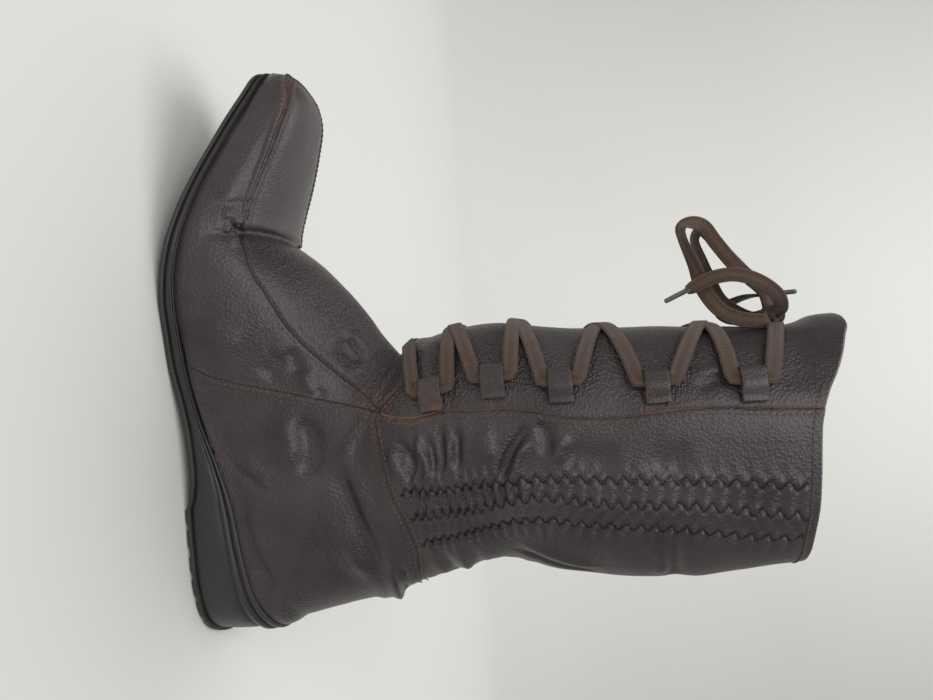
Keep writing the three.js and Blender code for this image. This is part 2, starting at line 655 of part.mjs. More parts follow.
const boot = new THREE.Group();
function place(name, solid, look) {
  const mesh = new THREE.Mesh(geometryOf(solid), new THREE.MeshStandardMaterial(look));
  mesh.name = name;
  boot.add(mesh);
}

place("outsole", outsole(), RUBBER);
place("sole_unit", soleUnit(), RUBBER);
place("insole", insole(), LINING);
place("upper", upper(), LEATHER);
TAB_LEVELS.forEach((level, index) => {
  place(`lace_tab_outer_${index + 1}`, laceTab(level, -1), LEATHER);
  place(`lace_tab_inner_${index + 1}`, laceTab(level, 1), LEATHER);
});
place("lace_crossings", laceStrand(-1).add(laceStrand(1)), WOVEN);
place("bow_knot", bowKnot(), WOVEN);
place("bow_long_loop", bowLoop(BOW_LONG_LOOP), WOVEN);
place("bow_short_loop", bowLoop(BOW_SHORT_LOOP), WOVEN);
place("bow_outer_end", bowEnd(BOW_OUTER_END), WOVEN);
place("bow_inner_end", bowEnd(BOW_INNER_END), WOVEN);
place("lace_tip_outer", laceTip(BOW_OUTER_END), METAL);
place("lace_tip_inner", laceTip(BOW_INNER_END), METAL);

export default boot;
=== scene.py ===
"""A left leather boot with a laced shaft, standing on a pale floor.

The boot's sizes are in millimetres and become metres in the meshes. "along" is a share of the
outsole's length from the heel; "level" is 0 on the floor, 1 at the instep's bend and 2 at the
collar's front peak.
"""

import logging
import math
from dataclasses import dataclass, field
from enum import Enum

import bmesh
import bpy
import numpy as np
from mathutils import Matrix, Vector, kdtree, noise


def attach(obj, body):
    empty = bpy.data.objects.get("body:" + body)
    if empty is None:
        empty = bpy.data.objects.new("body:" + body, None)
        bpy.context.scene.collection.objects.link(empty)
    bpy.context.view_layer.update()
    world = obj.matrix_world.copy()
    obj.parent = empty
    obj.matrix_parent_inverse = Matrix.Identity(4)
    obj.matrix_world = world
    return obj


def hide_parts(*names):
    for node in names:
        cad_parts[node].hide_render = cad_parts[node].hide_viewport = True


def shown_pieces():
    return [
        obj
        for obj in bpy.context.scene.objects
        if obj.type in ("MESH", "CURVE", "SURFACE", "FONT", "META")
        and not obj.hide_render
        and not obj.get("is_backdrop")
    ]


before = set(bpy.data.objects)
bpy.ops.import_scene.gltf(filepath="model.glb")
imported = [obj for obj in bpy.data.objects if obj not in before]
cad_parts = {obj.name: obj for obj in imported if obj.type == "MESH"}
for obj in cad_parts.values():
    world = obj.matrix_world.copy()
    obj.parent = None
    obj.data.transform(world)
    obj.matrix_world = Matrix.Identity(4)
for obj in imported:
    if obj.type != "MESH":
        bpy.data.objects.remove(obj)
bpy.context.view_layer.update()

LOG = logging.getLogger("boot")
MM = 0.001
OUTER, INNER = -1, 1


@dataclass(frozen=True)
class BootSizes:
    """Main sizes of the boot, in millimetres."""

    length: float = 278.0
    ball: float = 90.0
    instep: float = 101.0
    top: float = 306.0
    leg: float = 86.0
    wall: float = 2.0
    gap: float = 0.3
    tread: float = 2.6
    welt: float = 0.8
    sole_step: float = 1.4
    tread_edge: float = 1.0
    groove_width: float = 3.0
    groove_depth: float = 1.4
    tab_width: float = 10.5
    tab_length: float = 14.0
    tab_wall: float = 1.0
    lace_width: float = 7.0
    lace_thickness: float = 1.5
    lace_play: float = 1.2
    tip_length: float = 11.0
    knot: float = 11.0

    def x(self, along: np.ndarray) -> np.ndarray:
        """Place along the boot's length."""
        return (0.5 - np.asarray(along, float)) * self.length

    def z(self, level: np.ndarray) -> np.ndarray:
        """Height of a level."""
        level = np.asarray(level, float)
        return np.where(level <= 1, level * self.instep, self.instep + (level - 1) * (self.top - self.instep))


SIZES = BootSizes()

# Sections of the upper: front along, front level, back along, back level, outer and inner half
# width, widest place, squareness low and high, lean
SECTIONS = [
    [0.995, 0.512, 0.997, 0.466, 0.2, 0.46, 0.5, 2.6, 2.6, 0],
    [0.985, 0.572, 0.984, 0.453, 0.3, 0.56, 0.42, 5, 2.8, 0],
    [0.962, 0.625, 0.957, 0.418, 0.41, 0.65, 0.38, 6, 2.8, 0.02],
    [0.929, 0.64, 0.921, 0.369, 0.5, 0.72, 0.36, 6, 2.8, 0.05],
    [0.884, 0.606, 0.876, 0.309, 0.6, 0.8, 0.36, 6, 2.7, 0.08],
    [0.828, 0.552, 0.821, 0.239, 0.72, 0.88, 0.36, 6, 2.6, 0.14],
    [0.773, 0.492, 0.765, 0.176, 0.83, 0.92, 0.36, 6, 2.5, 0.18],
    [0.732, 0.452, 0.724, 0.137, 0.88, 0.935, 0.38, 6, 2.4, 0.2],
    [0.717, 0.446, 0.707, 0.123, 0.9, 0.93, 0.4, 6, 2.4, 0.22],
    [0.706, 0.412, 0.694, 0.113, 0.915, 0.92, 0.38, 6, 2.2, 0.2],
    [0.687, 0.5, 0.675, 0.1, 0.935, 0.9, 0.34, 6, 2, 0.14],
    [0.648, 0.63, 0.624, 0.074, 0.945, 0.85, 0.28, 6, 1.9, 0.08],
    [0.6, 0.757, 0.539, 0.067, 0.9, 0.74, 0.26, 5, 1.8, 0.04],
    [0.553, 0.856, 0.459, 0.079, 0.82, 0.67, 0.26, 5, 1.8, 0],
    [0.515, 0.921, 0.375, 0.111, 0.75, 0.65, 0.28, 4.6, 1.9, 0],
    [0.488, 0.977, 0.252, 0.165, 0.74, 0.69, 0.32, 3.8, 1.9, 0],
    [0.477, 1.003, 0.119, 0.205, 0.75, 0.74, 0.4, 3, 2, 0],
    [0.481, 1.012, 0.047, 0.228, 0.75, 0.74, 0.46, 3, 2, 0],
    [0.488, 1.021, 0.019, 0.295, 0.75, 0.74, 0.48, 3, 2, 0],
    [0.494, 1.031, 0.024, 0.437, 0.76, 0.76, 0.48, 2.6, 2, 0],
    [0.503, 1.05, 0.036, 0.609, 0.8, 0.8, 0.48, 2.1, 2, 0],
    [0.505, 1.078, 0.047, 0.791, 0.85, 0.85, 0.48, 2.1, 2.1, 0],
    [0.51, 1.102, 0.046, 0.88, 0.87, 0.87, 0.48, 2.1, 2.1, 0],
    [0.515, 1.135, 0.075, 1.017, 0.88, 0.88, 0.48, 2.1, 2.1, 0],
    [0.519, 1.18, 0.092, 1.106, 0.9, 0.9, 0.48, 2.1, 2.1, 0],
    [0.521, 1.245, 0.113, 1.218, 0.92, 0.92, 0.48, 2.1, 2.1, 0],
    [0.515, 1.299, 0.103, 1.288, 0.94, 0.94, 0.5, 2.1, 2.1, 0],
    [0.508, 1.355, 0.091, 1.344, 0.96, 0.96, 0.5, 2.1, 2.1, 0],
    [0.5, 1.449, 0.08, 1.436, 0.98, 0.98, 0.5, 2.15, 2.15, 0],
    [0.496, 1.57, 0.072, 1.558, 1, 1, 0.5, 2.15, 2.15, 0],
    [0.494, 1.617, 0.075, 1.605, 1, 1, 0.5, 2.15, 2.15, 0],
    [0.49, 1.673, 0.072, 1.661, 1, 1, 0.5, 2.15, 2.15, 0],
    [0.486, 1.767, 0.079, 1.754, 1, 1, 0.5, 2.15, 2.15, 0],
    [0.48, 1.851, 0.086, 1.839, 0.99, 0.99, 0.5, 2.15, 2.15, 0],
    [0.484, 1.918, 0.091, 1.906, 0.98, 0.98, 0.5, 2.15, 2.15, 0],
    [0.493, 1.969, 0.095, 1.957, 0.98, 0.98, 0.5, 2.15, 2.15, 0],
    [0.493, 2.08, 0.097, 2.07, 0.98, 0.98, 0.5, 2.15, 2.15, 0],
]
LEG_ROW = 19

# Outsole in plan: along, outer and inner half width as shares of half the ball width
PLAN = [
    [0, 0, 0], [0.012, 0.34, 0.34], [0.045, 0.58, 0.58], [0.1, 0.71, 0.71], [0.17, 0.75, 0.74],
    [0.26, 0.76, 0.69], [0.38, 0.79, 0.63], [0.5, 0.9, 0.71], [0.6, 0.99, 0.86], [0.66, 1, 0.95],
    [0.72, 0.95, 1], [0.8, 0.81, 0.95], [0.88, 0.62, 0.83], [0.94, 0.48, 0.73], [0.978, 0.38, 0.64],
    [0.996, 0.2, 0.46], [1, -0.13, 0.13],
]

# Side profiles: along, height as a share of the instep's height
FLOOR_LINE = [
    [0, 0.03], [0.015, 0.008], [0.035, 0], [0.237, 0], [0.262, 0.022], [0.303, 0.036], [0.353, 0.034],
    [0.414, 0.022], [0.464, 0.006], [0.495, 0], [0.581, 0], [0.616, 0.01], [0.656, 0.028], [0.697, 0.055],
    [0.737, 0.09], [0.778, 0.132], [0.818, 0.18], [0.858, 0.23], [0.899, 0.283], [0.939, 0.342],
    [0.97, 0.388], [1, 0.418],
]
FEATHER_LINE = [
    [0, 0.235], [0.078, 0.217], [0.158, 0.194], [0.241, 0.17], [0.317, 0.141], [0.38, 0.109],
    [0.428, 0.086], [0.495, 0.07], [0.562, 0.066], [0.616, 0.073], [0.656, 0.09], [0.697, 0.115],
    [0.737, 0.148], [0.778, 0.188], [0.818, 0.235], [0.858, 0.286], [0.899, 0.339], [0.939, 0.394],
    [0.97, 0.437], [1, 0.468],
]
RIM_LINE = [
    [0, 0.36], [0.026, 0.344], [0.078, 0.296], [0.157, 0.258], [0.241, 0.227], [0.317, 0.173],
    [0.38, 0.118], [0.417, 0.094],
]
# Collar edge: share of the shaft's depth from its front, height as a share of the leg
COLLAR_LINE = [
    [-0.1, 0.985], [-0.02, 0.999], [0, 1], [0.035, 0.995], [0.08, 0.978], [0.156, 0.956], [0.229, 0.934],
    [0.288, 0.915], [0.353, 0.9], [0.426, 0.89], [0.573, 0.883], [0.72, 0.878], [0.857, 0.873],
    [0.95, 0.876], [1.1, 0.884],
]

# Seams of the outer side, along and level; the inner side repeats them
QUARTER_SEAM = [
    (0.484, 0.105), (0.466, 0.18), (0.45, 0.306), (0.429, 0.516), (0.409, 0.706), (0.391, 0.885),
    (0.385, 0.93),
]
INSTEP_SEAM = [
    (0.702, 0.345), (0.675, 0.385), (0.63, 0.42), (0.605, 0.455), (0.568, 0.505), (0.544, 0.538),
    (0.508, 0.607), (0.473, 0.695), (0.441, 0.786), (0.413, 0.882), (0.39, 0.937),
]
V_SEAM = [(0.386, 0.937), (0.415, 1.011), (0.445, 1.062)]
ANKLE_SEAM = [
    (0.375, 0.925), (0.339, 0.942), (0.288, 0.97), (0.254, 0.993), (0.203, 1.024), (0.154, 1.038),
    (0.1, 1.03), (0.075, 1.024),
]
FRONT_SEAM = [
    (0.384, 0.94), (0.377, 1.0), (0.373, 1.051), (0.377, 1.085), (0.383, 1.125), (0.38, 1.195),
    (0.379, 1.267), (0.37, 1.341), (0.361, 1.403), (0.357, 1.48), (0.359, 1.54), (0.363, 1.613),
    (0.363, 1.705), (0.358, 1.78), (0.353, 1.9),
]
GATHER_ROWS = [
    [
        (0.255, 1.014), (0.259, 1.045), (0.255, 1.09), (0.26, 1.153), (0.264, 1.22), (0.265, 1.266),
        (0.269, 1.309), (0.267, 1.373), (0.263, 1.447), (0.259, 1.549), (0.254, 1.649), (0.247, 1.75),
        (0.237, 1.862),
    ],
    [
        (0.214, 1.033), (0.215, 1.081), (0.22, 1.151), (0.227, 1.217), (0.234, 1.265), (0.237, 1.329),
        (0.232, 1.39), (0.224, 1.46), (0.22, 1.548), (0.215, 1.648), (0.203, 1.749), (0.191, 1.862),
    ],
    [
        (0.166, 1.048), (0.171, 1.075), (0.18, 1.145), (0.191, 1.21), (0.198, 1.257), (0.201, 1.325),
        (0.194, 1.389), (0.191, 1.44), (0.183, 1.547), (0.174, 1.647), (0.162, 1.752), (0.154, 1.856),
    ],
]


class Relief(Enum):
    """How a line of the leather's surface stands out."""

    FOLD = "rises or sinks, and runs out at both ends"
    LINE = "rises or sinks along its whole length"
    STEP = "the side on the right of the line lies higher"


# Creases and bulges: kind, half width, height, line
FOLDS = [
    (Relief.FOLD, 1.1, -0.7, [(0.747, 0.25), (0.749, 0.33), (0.754, 0.42)]),
    (Relief.FOLD, 1.6, -0.5, [(0.72, 0.27), (0.712, 0.337), (0.706, 0.36)]),
    (Relief.FOLD, 1.6, -2.0, [(0.718, 0.325), (0.706, 0.343), (0.7, 0.362)]),
    (Relief.FOLD, 2.2, 1.1, [(0.717, 0.3), (0.694, 0.335), (0.674, 0.36)]),
    (Relief.FOLD, 2.0, 0.8, [(0.733, 0.3), (0.729, 0.34), (0.722, 0.37)]),
    (Relief.FOLD, 9.0, 1.3, [(0.56, 0.2), (0.52, 0.27), (0.5, 0.35)]),
    (Relief.FOLD, 5.0, -1.1, [(0.45, 0.43), (0.475, 0.49), (0.49, 0.54)]),
    (Relief.FOLD, 3.4, -1.2, [(0.505, 0.555), (0.477, 0.568), (0.452, 0.595)]),
    (Relief.FOLD, 2.6, 0.9, [(0.465, 0.598), (0.442, 0.624), (0.42, 0.665)]),
    (Relief.FOLD, 1.6, -0.5, [(0.45, 0.63), (0.43, 0.66), (0.415, 0.7)]),
    (Relief.FOLD, 0.8, -0.35, [(0.549, 0.15), (0.547, 0.19), (0.543, 0.225)]),
    (Relief.FOLD, 1.4, -1.1, [(0.36, 0.09), (0.335, 0.16), (0.31, 0.25), (0.28, 0.36), (0.25, 0.52)]),
    (Relief.FOLD, 0.9, -0.5, [(0.307, 0.333), (0.285, 0.416), (0.262, 0.5)]),
    (Relief.FOLD, 2.5, 0.7, [(0.33, 0.3), (0.3, 0.37), (0.27, 0.45)]),
    (Relief.FOLD, 5.0, -2.3, [(0.39, 0.57), (0.352, 0.617), (0.322, 0.622), (0.28, 0.585)]),
    (Relief.FOLD, 6.0, 1.7, [(0.385, 0.45), (0.358, 0.525), (0.33, 0.525), (0.3, 0.465)]),
    (Relief.FOLD, 4.5, 1.6, [(0.352, 0.77), (0.302, 0.8), (0.232, 0.865), (0.175, 0.925)]),
    (Relief.FOLD, 4.2, -1.8, [(0.31, 0.725), (0.218, 0.825), (0.126, 0.892), (0.08, 0.905)]),
    (Relief.FOLD, 4.5, 1.2, [(0.245, 0.64), (0.171, 0.742), (0.1, 0.83)]),
    (Relief.FOLD, 5.0, -1.0, [(0.21, 0.6), (0.14, 0.7), (0.08, 0.79)]),
    (Relief.FOLD, 4.0, -1.3, [(0.15, 0.335), (0.12, 0.35), (0.09, 0.36)]),
    (Relief.FOLD, 5.0, 1.0, [(0.26, 0.31), (0.2, 0.335), (0.15, 0.38), (0.12, 0.43)]),
    (Relief.FOLD, 2.6, 2.3, [(0.13, 0.95), (0.09, 0.945), (0.05, 0.925)]),
    (Relief.FOLD, 1.6, -2.0, [(0.14, 0.985), (0.1, 0.985), (0.06, 0.965)]),
    (Relief.FOLD, 5.0, -1.5, [(0.515, 0.75), (0.489, 0.803), (0.462, 0.85)]),
    (Relief.FOLD, 4.0, 1.0, [(0.53, 0.8), (0.505, 0.85), (0.48, 0.9)]),
    (Relief.FOLD, 1.9, -1.6, [(0.345, 1.005), (0.325, 1.035), (0.3, 1.05), (0.265, 1.042)]),
    (Relief.FOLD, 2.2, 1.2, [(0.335, 0.995), (0.3, 1.01), (0.268, 1.022)]),
    (Relief.FOLD, 1.5, 1.7, [(0.357, 1.072), (0.325, 1.066), (0.304, 1.082), (0.275, 1.084), (0.258, 1.093)]),
    (Relief.FOLD, 1.8, -1.8, [(0.345, 1.088), (0.31, 1.096), (0.28, 1.098)]),
    (Relief.FOLD, 2.0, -1.9, [(0.37, 1.12), (0.333, 1.114), (0.3, 1.12), (0.266, 1.108)]),
    (Relief.FOLD, 2.0, 1.7, [(0.35, 1.141), (0.306, 1.13), (0.268, 1.112)]),
    (Relief.FOLD, 2.2, -1.4, [(0.358, 1.157), (0.316, 1.15), (0.285, 1.157)]),
    (Relief.FOLD, 5.0, 1.0, [(0.352, 1.2), (0.32, 1.212), (0.3, 1.2)]),
    (Relief.FOLD, 2.4, -2.2, [(0.36, 1.31), (0.335, 1.289), (0.313, 1.267), (0.289, 1.254), (0.26, 1.242)]),
    (Relief.FOLD, 2.2, 2.0, [(0.338, 1.307), (0.312, 1.285), (0.287, 1.27), (0.255, 1.256)]),
    (Relief.FOLD, 3.2, -1.7, [(0.366, 1.33), (0.342, 1.34), (0.318, 1.344), (0.3, 1.33)]),
    (Relief.FOLD, 3.2, 1.2, [(0.336, 1.385), (0.311, 1.365), (0.29, 1.36)]),
    (Relief.FOLD, 7.0, -1.7, [(0.318, 1.37), (0.296, 1.43), (0.288, 1.5)]),
    (Relief.FOLD, 6.0, -0.9, [(0.302, 1.54), (0.287, 1.583), (0.283, 1.64)]),
    (Relief.FOLD, 3.0, -1.0, [(0.388, 1.655), (0.403, 1.69), (0.41, 1.75)]),
    (Relief.FOLD, 3.0, 0.8, [(0.405, 1.645), (0.418, 1.69), (0.42, 1.74)]),
    (Relief.FOLD, 3.0, -1.3, [(0.175, 1.588), (0.129, 1.594), (0.085, 1.6)]),
    (Relief.FOLD, 4.0, 0.8, [(0.165, 1.56), (0.129, 1.566), (0.09, 1.57)]),
    (Relief.FOLD, 1.8, -1.2, [(0.15, 1.24), (0.128, 1.3), (0.105, 1.37), (0.09, 1.45)]),
    (Relief.FOLD, 2.4, 1.0, [(0.165, 1.25), (0.145, 1.31), (0.122, 1.38), (0.108, 1.46)]),
    (Relief.FOLD, 8.0, -1.6, [(0.475, 1.94), (0.435, 1.885), (0.372, 1.85)]),
    (Relief.FOLD, 2.0, -1.0, [(0.15, 1.1), (0.12, 1.105), (0.09, 1.11)]),
    (Relief.FOLD, 2.2, 0.9, [(0.155, 1.13), (0.125, 1.135), (0.1, 1.14)]),
    (Relief.FOLD, 1.8, -0.9, [(0.16, 1.16), (0.13, 1.165), (0.1, 1.17)]),
    (Relief.FOLD, 5.0, -1.4, [(0.5, 1.13), (0.47, 1.12), (0.43, 1.13)]),
    (Relief.FOLD, 4.0, -1.2, [(0.505, 1.25), (0.47, 1.24), (0.43, 1.25)]),
]

# Worn places: along, level, radius, strength
WORN_PLACES = [
    (0.388, 0.935, 9.0, 1.0), (0.376, 1.0, 8.0, 0.8), (0.374, 1.05, 8.0, 0.9), (0.39, 1.09, 7.0, 0.8),
    (0.41, 0.9, 8.0, 0.5), (0.41, 0.99, 6.0, 0.4), (0.93, 0.62, 12.0, 0.9), (0.965, 0.6, 12.0, 0.9),
    (0.36, 0.93, 6.0, 0.5), (0.381, 1.2, 14.0, 0.35), (0.36, 1.6, 14.0, 0.3), (0.355, 1.85, 16.0, 0.3),
    (0.43, 0.55, 10.0, 0.2), (0.365, 1.58, 7.0, 0.5),
]

# Lace tabs and crossings on the shaft
TAB_LEVELS = [1.1, 1.237, 1.38, 1.578, 1.769]
TAB_AROUND = 0.31
CROSSING_LEVELS = [1.14, 1.29, 1.481, 1.712]
START_LEVEL = 1.026
LACE_END = (1.864, 0.065)
KNOT_LEVEL = 1.872
KNOT_FORM = (0.8, 1.0, 0.9)
START_LIFT, CROSSING_LIFT, TAB_RUNOUT = 1.3, 2.1, 2.6

# Bow, from the knot outwards: x, y, z, and how far the band turns its edge to the side, in degrees
BOW_LONG_LOOP = [
    (3, -9, 273, 10), (1, -10, 262, 0), (-4, -9, 254, 0), (-14, -7, 248, 15), (-26, -5, 245, 50),
    (-38, -4, 241, 70), (-44, -3, 241, 55), (-46, -1, 246, 25), (-44, 1, 252, 5), (-36, 1, 257, 0),
    (-25, -1, 264, 0), (-17, -2, 271, 10), (-10.5, -3, 276, 25),
]
BOW_SHORT_LOOP = [
    (1, 9, 272, 10), (-4, 10, 264, 0), (-10, 11, 258.5, 10), (-19, 11, 255, 35), (-29, 10, 252, 65),
    (-39, 9, 249, 70), (-43, 8, 252, 40), (-39, 8, 257, 20), (-29, 7, 264, 10), (-20, 6, 271, 10),
    (-9, 8, 281.5, 30),
]
BOW_OUTER_END = [
    (-3, -10, 281, 40), (-8, -13, 279, 20), (-13, -14, 274, 5), (-17, -15, 267, 0), (-19, -15, 259, 0),
    (-18, -14, 250, 5), (-15, -13, 243, 25), (-13.5, -12.5, 239.5, 60),
]
BOW_INNER_END = [
    (2.5, 9, 284, 30), (1, 17, 277, 20), (2, 25, 269, 20), (-2, 30, 264, 20), (-7, 29, 267, 20),
    (-10, 22, 274, 10), (-10, 14, 280, 0), (-10, 11, 284, 0),
]


def between(rows: np.ndarray, position: np.ndarray) -> np.ndarray:
    """Curve through a table's rows.

    Args:
        rows: the table, one row a knot.
        position: row numbers, with fractions.

    Returns:
        One row of values for each position.
    """
    rows = np.asarray(rows, float)
    position = np.asarray(position, float)
    last = len(rows) - 1
    index = np.clip(np.floor(position).astype(int), 0, last - 1)
    t = (position - index)[..., None]
    a, b, d, e = (rows[np.clip(index + k, 0, last)] for k in (-1, 0, 1, 2))
    return b + 0.5 * ((d - a) * t + (2 * a - 5 * b + 4 * d - e) * t**2 + (3 * b - a - 3 * d + e) * t**3)


def profile(table: list[list[float]], along: np.ndarray) -> np.ndarray:
    """Height of a side profile, without overshoot between its rows.

    Args:
        table: rows of place and height.
        along: places to look up.

    Returns:
        The heights there.
    """
    xs, ys = np.array(table, float).T
    slope = np.diff(ys) / np.diff(xs)
    before = np.concatenate([slope[:1], slope])
    after = np.concatenate([slope, slope[-1:]])
    same = before * after > 0
    tangent = np.where(same, 2 * before * after / np.where(same, before + after, 1.0), 0.0)
    at = np.clip(along, xs[0], xs[-1])
    i = np.clip(np.searchsorted(xs, at, side="left") - 1, 0, len(xs) - 2)
    width = xs[i + 1] - xs[i]
    t = (at - xs[i]) / width
    bend = (t**3 - 2 * t**2 + t) * tangent[i] + (t**3 - t**2) * tangent[i + 1]
    return ys[i] + (ys[i + 1] - ys[i]) * t * t * (3 - 2 * t) + bend * width


def unit(vectors: np.ndarray) -> np.ndarray:
    """Vectors brought to length one."""
    return vectors / np.maximum(np.linalg.norm(vectors, axis=-1, keepdims=True), 1e-9)


def smooth(value: np.ndarray) -> np.ndarray:
    """Soft step from 0 to 1."""
    value = np.clip(value, 0, 1)
    return value * value * (3 - 2 * value)


def curve(points: np.ndarray, spacing: float) -> np.ndarray:
    """Points along a smooth curve, about evenly spaced.

    Args:
        points: knots, whose first three columns are x, y and z.
        spacing: distance between the points returned.

    Returns:
        The points, with any further columns carried along.
    """
    points = np.asarray(points, float)
    fine = between(points, np.linspace(0, len(points) - 1, 40 * len(points)))
    steps = np.linalg.norm(np.diff(fine[:, :3], axis=0), axis=1)
    run = np.concatenate([[0], np.cumsum(steps)])
    count = max(int(round(run[-1] / spacing)), 2)
    at = np.linspace(0, run[-1], count + 1)
    return np.stack([np.interp(at, run, fine[:, k]) for k in range(fine.shape[1])], axis=1)


class UpperForm:
    """The upper's smooth form, from its sections."""

    def __init__(self, sizes: BootSizes) -> None:
        """Work out the sections and a net to look places up in.

        Args:
            sizes: the boot's sizes.
        """
        self.sizes = sizes
        rows = []
        for index, (fa, fl, ba, bl, outer, inner, *form) in enumerate(SECTIONS):
            half = (sizes.ball if index < LEG_ROW else sizes.leg) / 2
            front = [float(sizes.x(fa)), float(sizes.z(fl))]
            back = [float(sizes.x(ba)), float(sizes.z(bl))]
            rows.append([*front, *back, outer * half, inner * half, *form])
        self.rows = np.array(rows)
        self.last = len(rows) - 1
        position, share = np.meshgrid(np.linspace(0, self.last, 500), np.linspace(0.02, 1.98, 140), indexing="ij")
        self.net = np.stack([position.ravel(), share.ravel()], axis=1)
        places = self.point(self.net[:, 0], self.spread(self.net[:, 0], self.net[:, 1]))
        self.tree = kdtree.KDTree(len(places))
        for k, (x, _, z) in enumerate(places.tolist()):
            self.tree.insert((x, z, 0.0), k)
        self.tree.balance()

    @staticmethod
    def spread(position: np.ndarray, around: np.ndarray) -> np.ndarray:
        """Turns of places counted in quarters round the upper, evenly over the foot's tight corners too.

        Args:
            position: section numbers.
            around: 0 on the back line, 1 outer side, 2 front line, to 4 round again.

        Returns:
            The turns.
        """
        power = 3 - 2 * smooth((np.asarray(position, float) - 13) / 6)
        count = np.minimum(around, 4 - np.asarray(around, float))
        low = np.clip(count, 0, 1)
        share = low**power / (low**power + (1 - low) ** power)
        turn = 0.25 * np.where(count < 1, share, count)
        return np.where(np.asarray(around) <= 2, turn, 1 - turn)

    def point(self, position: np.ndarray, turn: np.ndarray) -> np.ndarray:
        """Points of the outside.

        Args:
            position: section numbers, with fractions.
            turn: 0 on the back line, 0.25 outer side, 0.5 front line, to 1 round again.

        Returns:
            x, y and z of each point.
        """
        values = between(self.rows, position)
        fx, fz, bx, bz, outer, inner, widest, low, high, lean = np.moveaxis(values, -1, 0)
        angle = np.asarray(turn) * 2 * math.pi
        cosine, sine = np.cos(angle), np.sin(angle)
        square = np.where(cosine > 0, low, high)
        reach = np.abs(cosine) ** (2 / square)
        share = np.where(cosine > 0, widest * (1 - reach), widest + (1 - widest) * reach)
        side = np.where(sine > 0, -outer, inner)
        across = side * np.abs(sine) ** (2 / square) + lean * outer * share * share
        return np.stack([bx + (fx - bx) * share, across, bz + (fz - bz) * share], axis=-1)

    def normal(self, position: np.ndarray, turn: np.ndarray) -> np.ndarray:
        """Outward directions at points of the outside.

        Args:
            position: section numbers.
            turn: places around.

        Returns:
            Unit vectors.
        """
        position = np.asarray(position, float)
        low, high = np.maximum(position - 0.12, 0), np.minimum(position + 0.12, self.last)
        lengthwise = self.point(high, turn) - self.point(low, turn)
        around = self.point(position, np.asarray(turn) + 0.005) - self.point(position, np.asarray(turn) - 0.005)
        return unit(np.cross(lengthwise, around))

    def find(self, x: np.ndarray, z: np.ndarray) -> tuple[np.ndarray, np.ndarray]:
        """Section and turn of places seen from the side.

        Args:
            x: places along the boot.
            z: heights.

        Returns:
            Section numbers, and places around on the outer side, in quarters.
        """
        hits = [self.tree.find((float(a), float(b), 0.0))[1] for a, b in zip(np.ravel(x), np.ravel(z))]
        position, around = self.net[hits].T.copy()
        for _ in range(5):
            here = self.point(position, self.spread(position, around))
            down = self.point(position + 1e-3, self.spread(position + 1e-3, around)) - here
            round_ = self.point(position, self.spread(position, around + 1e-3)) - here
            jac = np.stack([down[:, [0, 2]] / 1e-3, round_[:, [0, 2]] / 1e-3], axis=-1)
            miss = np.stack([np.ravel(x) - here[:, 0], np.ravel(z) - here[:, 2]], axis=-1)
            det = jac[:, 0, 0] * jac[:, 1, 1] - jac[:, 0, 1] * jac[:, 1, 0]
            det = np.where(np.abs(det) < 1e-6, 1e9, det)
            step_p = (jac[:, 1, 1] * miss[:, 0] - jac[:, 0, 1] * miss[:, 1]) / det
            step_t = (jac[:, 0, 0] * miss[:, 1] - jac[:, 1, 0] * miss[:, 0]) / det
            position = np.clip(position + np.clip(step_p, -0.2, 0.2), 0, self.last)
            around = np.clip(around + np.clip(step_t, -0.05, 0.05), 0.004, 1.996)
        return position, around

    def on_shaft(self, level: np.ndarray, around: np.ndarray) -> tuple[np.ndarray, np.ndarray]:
        """Section and turn of places on the shaft.

        Args:
            level: heights as levels.
            around: share around from the front line, the outer side negative.

        Returns:
            Section numbers and turns.
        """
        turn = 0.5 + np.asarray(around, float) / 2
        target = self.sizes.z(level)
        low = np.full(turn.shape, 11.0)
        high = np.full(turn.shape, float(self.last))
        for _ in range(30):
            middle = (low + high) / 2
            below = self.point(middle, turn)[..., 2] < target
            low = np.where(below, middle, low)
            high = np.where(below, high, middle)
        return low, turn

    def collar_end(self, turn: np.ndarray) -> np.ndarray:
        """Section number at which the collar cuts the shaft.

        Args:
            turn: places around.

        Returns:
            Section numbers.
        """
        front, back = self.rows[-1][0], self.rows[-1][2]
        low = np.full(np.shape(turn), 29.0)
        high = np.full(np.shape(turn), float(self.last))
        for _ in range(26):
            middle = (low + high) / 2
            here = self.point(middle, turn)
            edge = profile(COLLAR_LINE, (here[..., 0] - front) / (back - front))
            below = here[..., 2] < self.sizes.instep + edge * (self.sizes.top - self.sizes.instep)
            low = np.where(below, middle, low)
            high = np.where(below, high, middle)
        return low


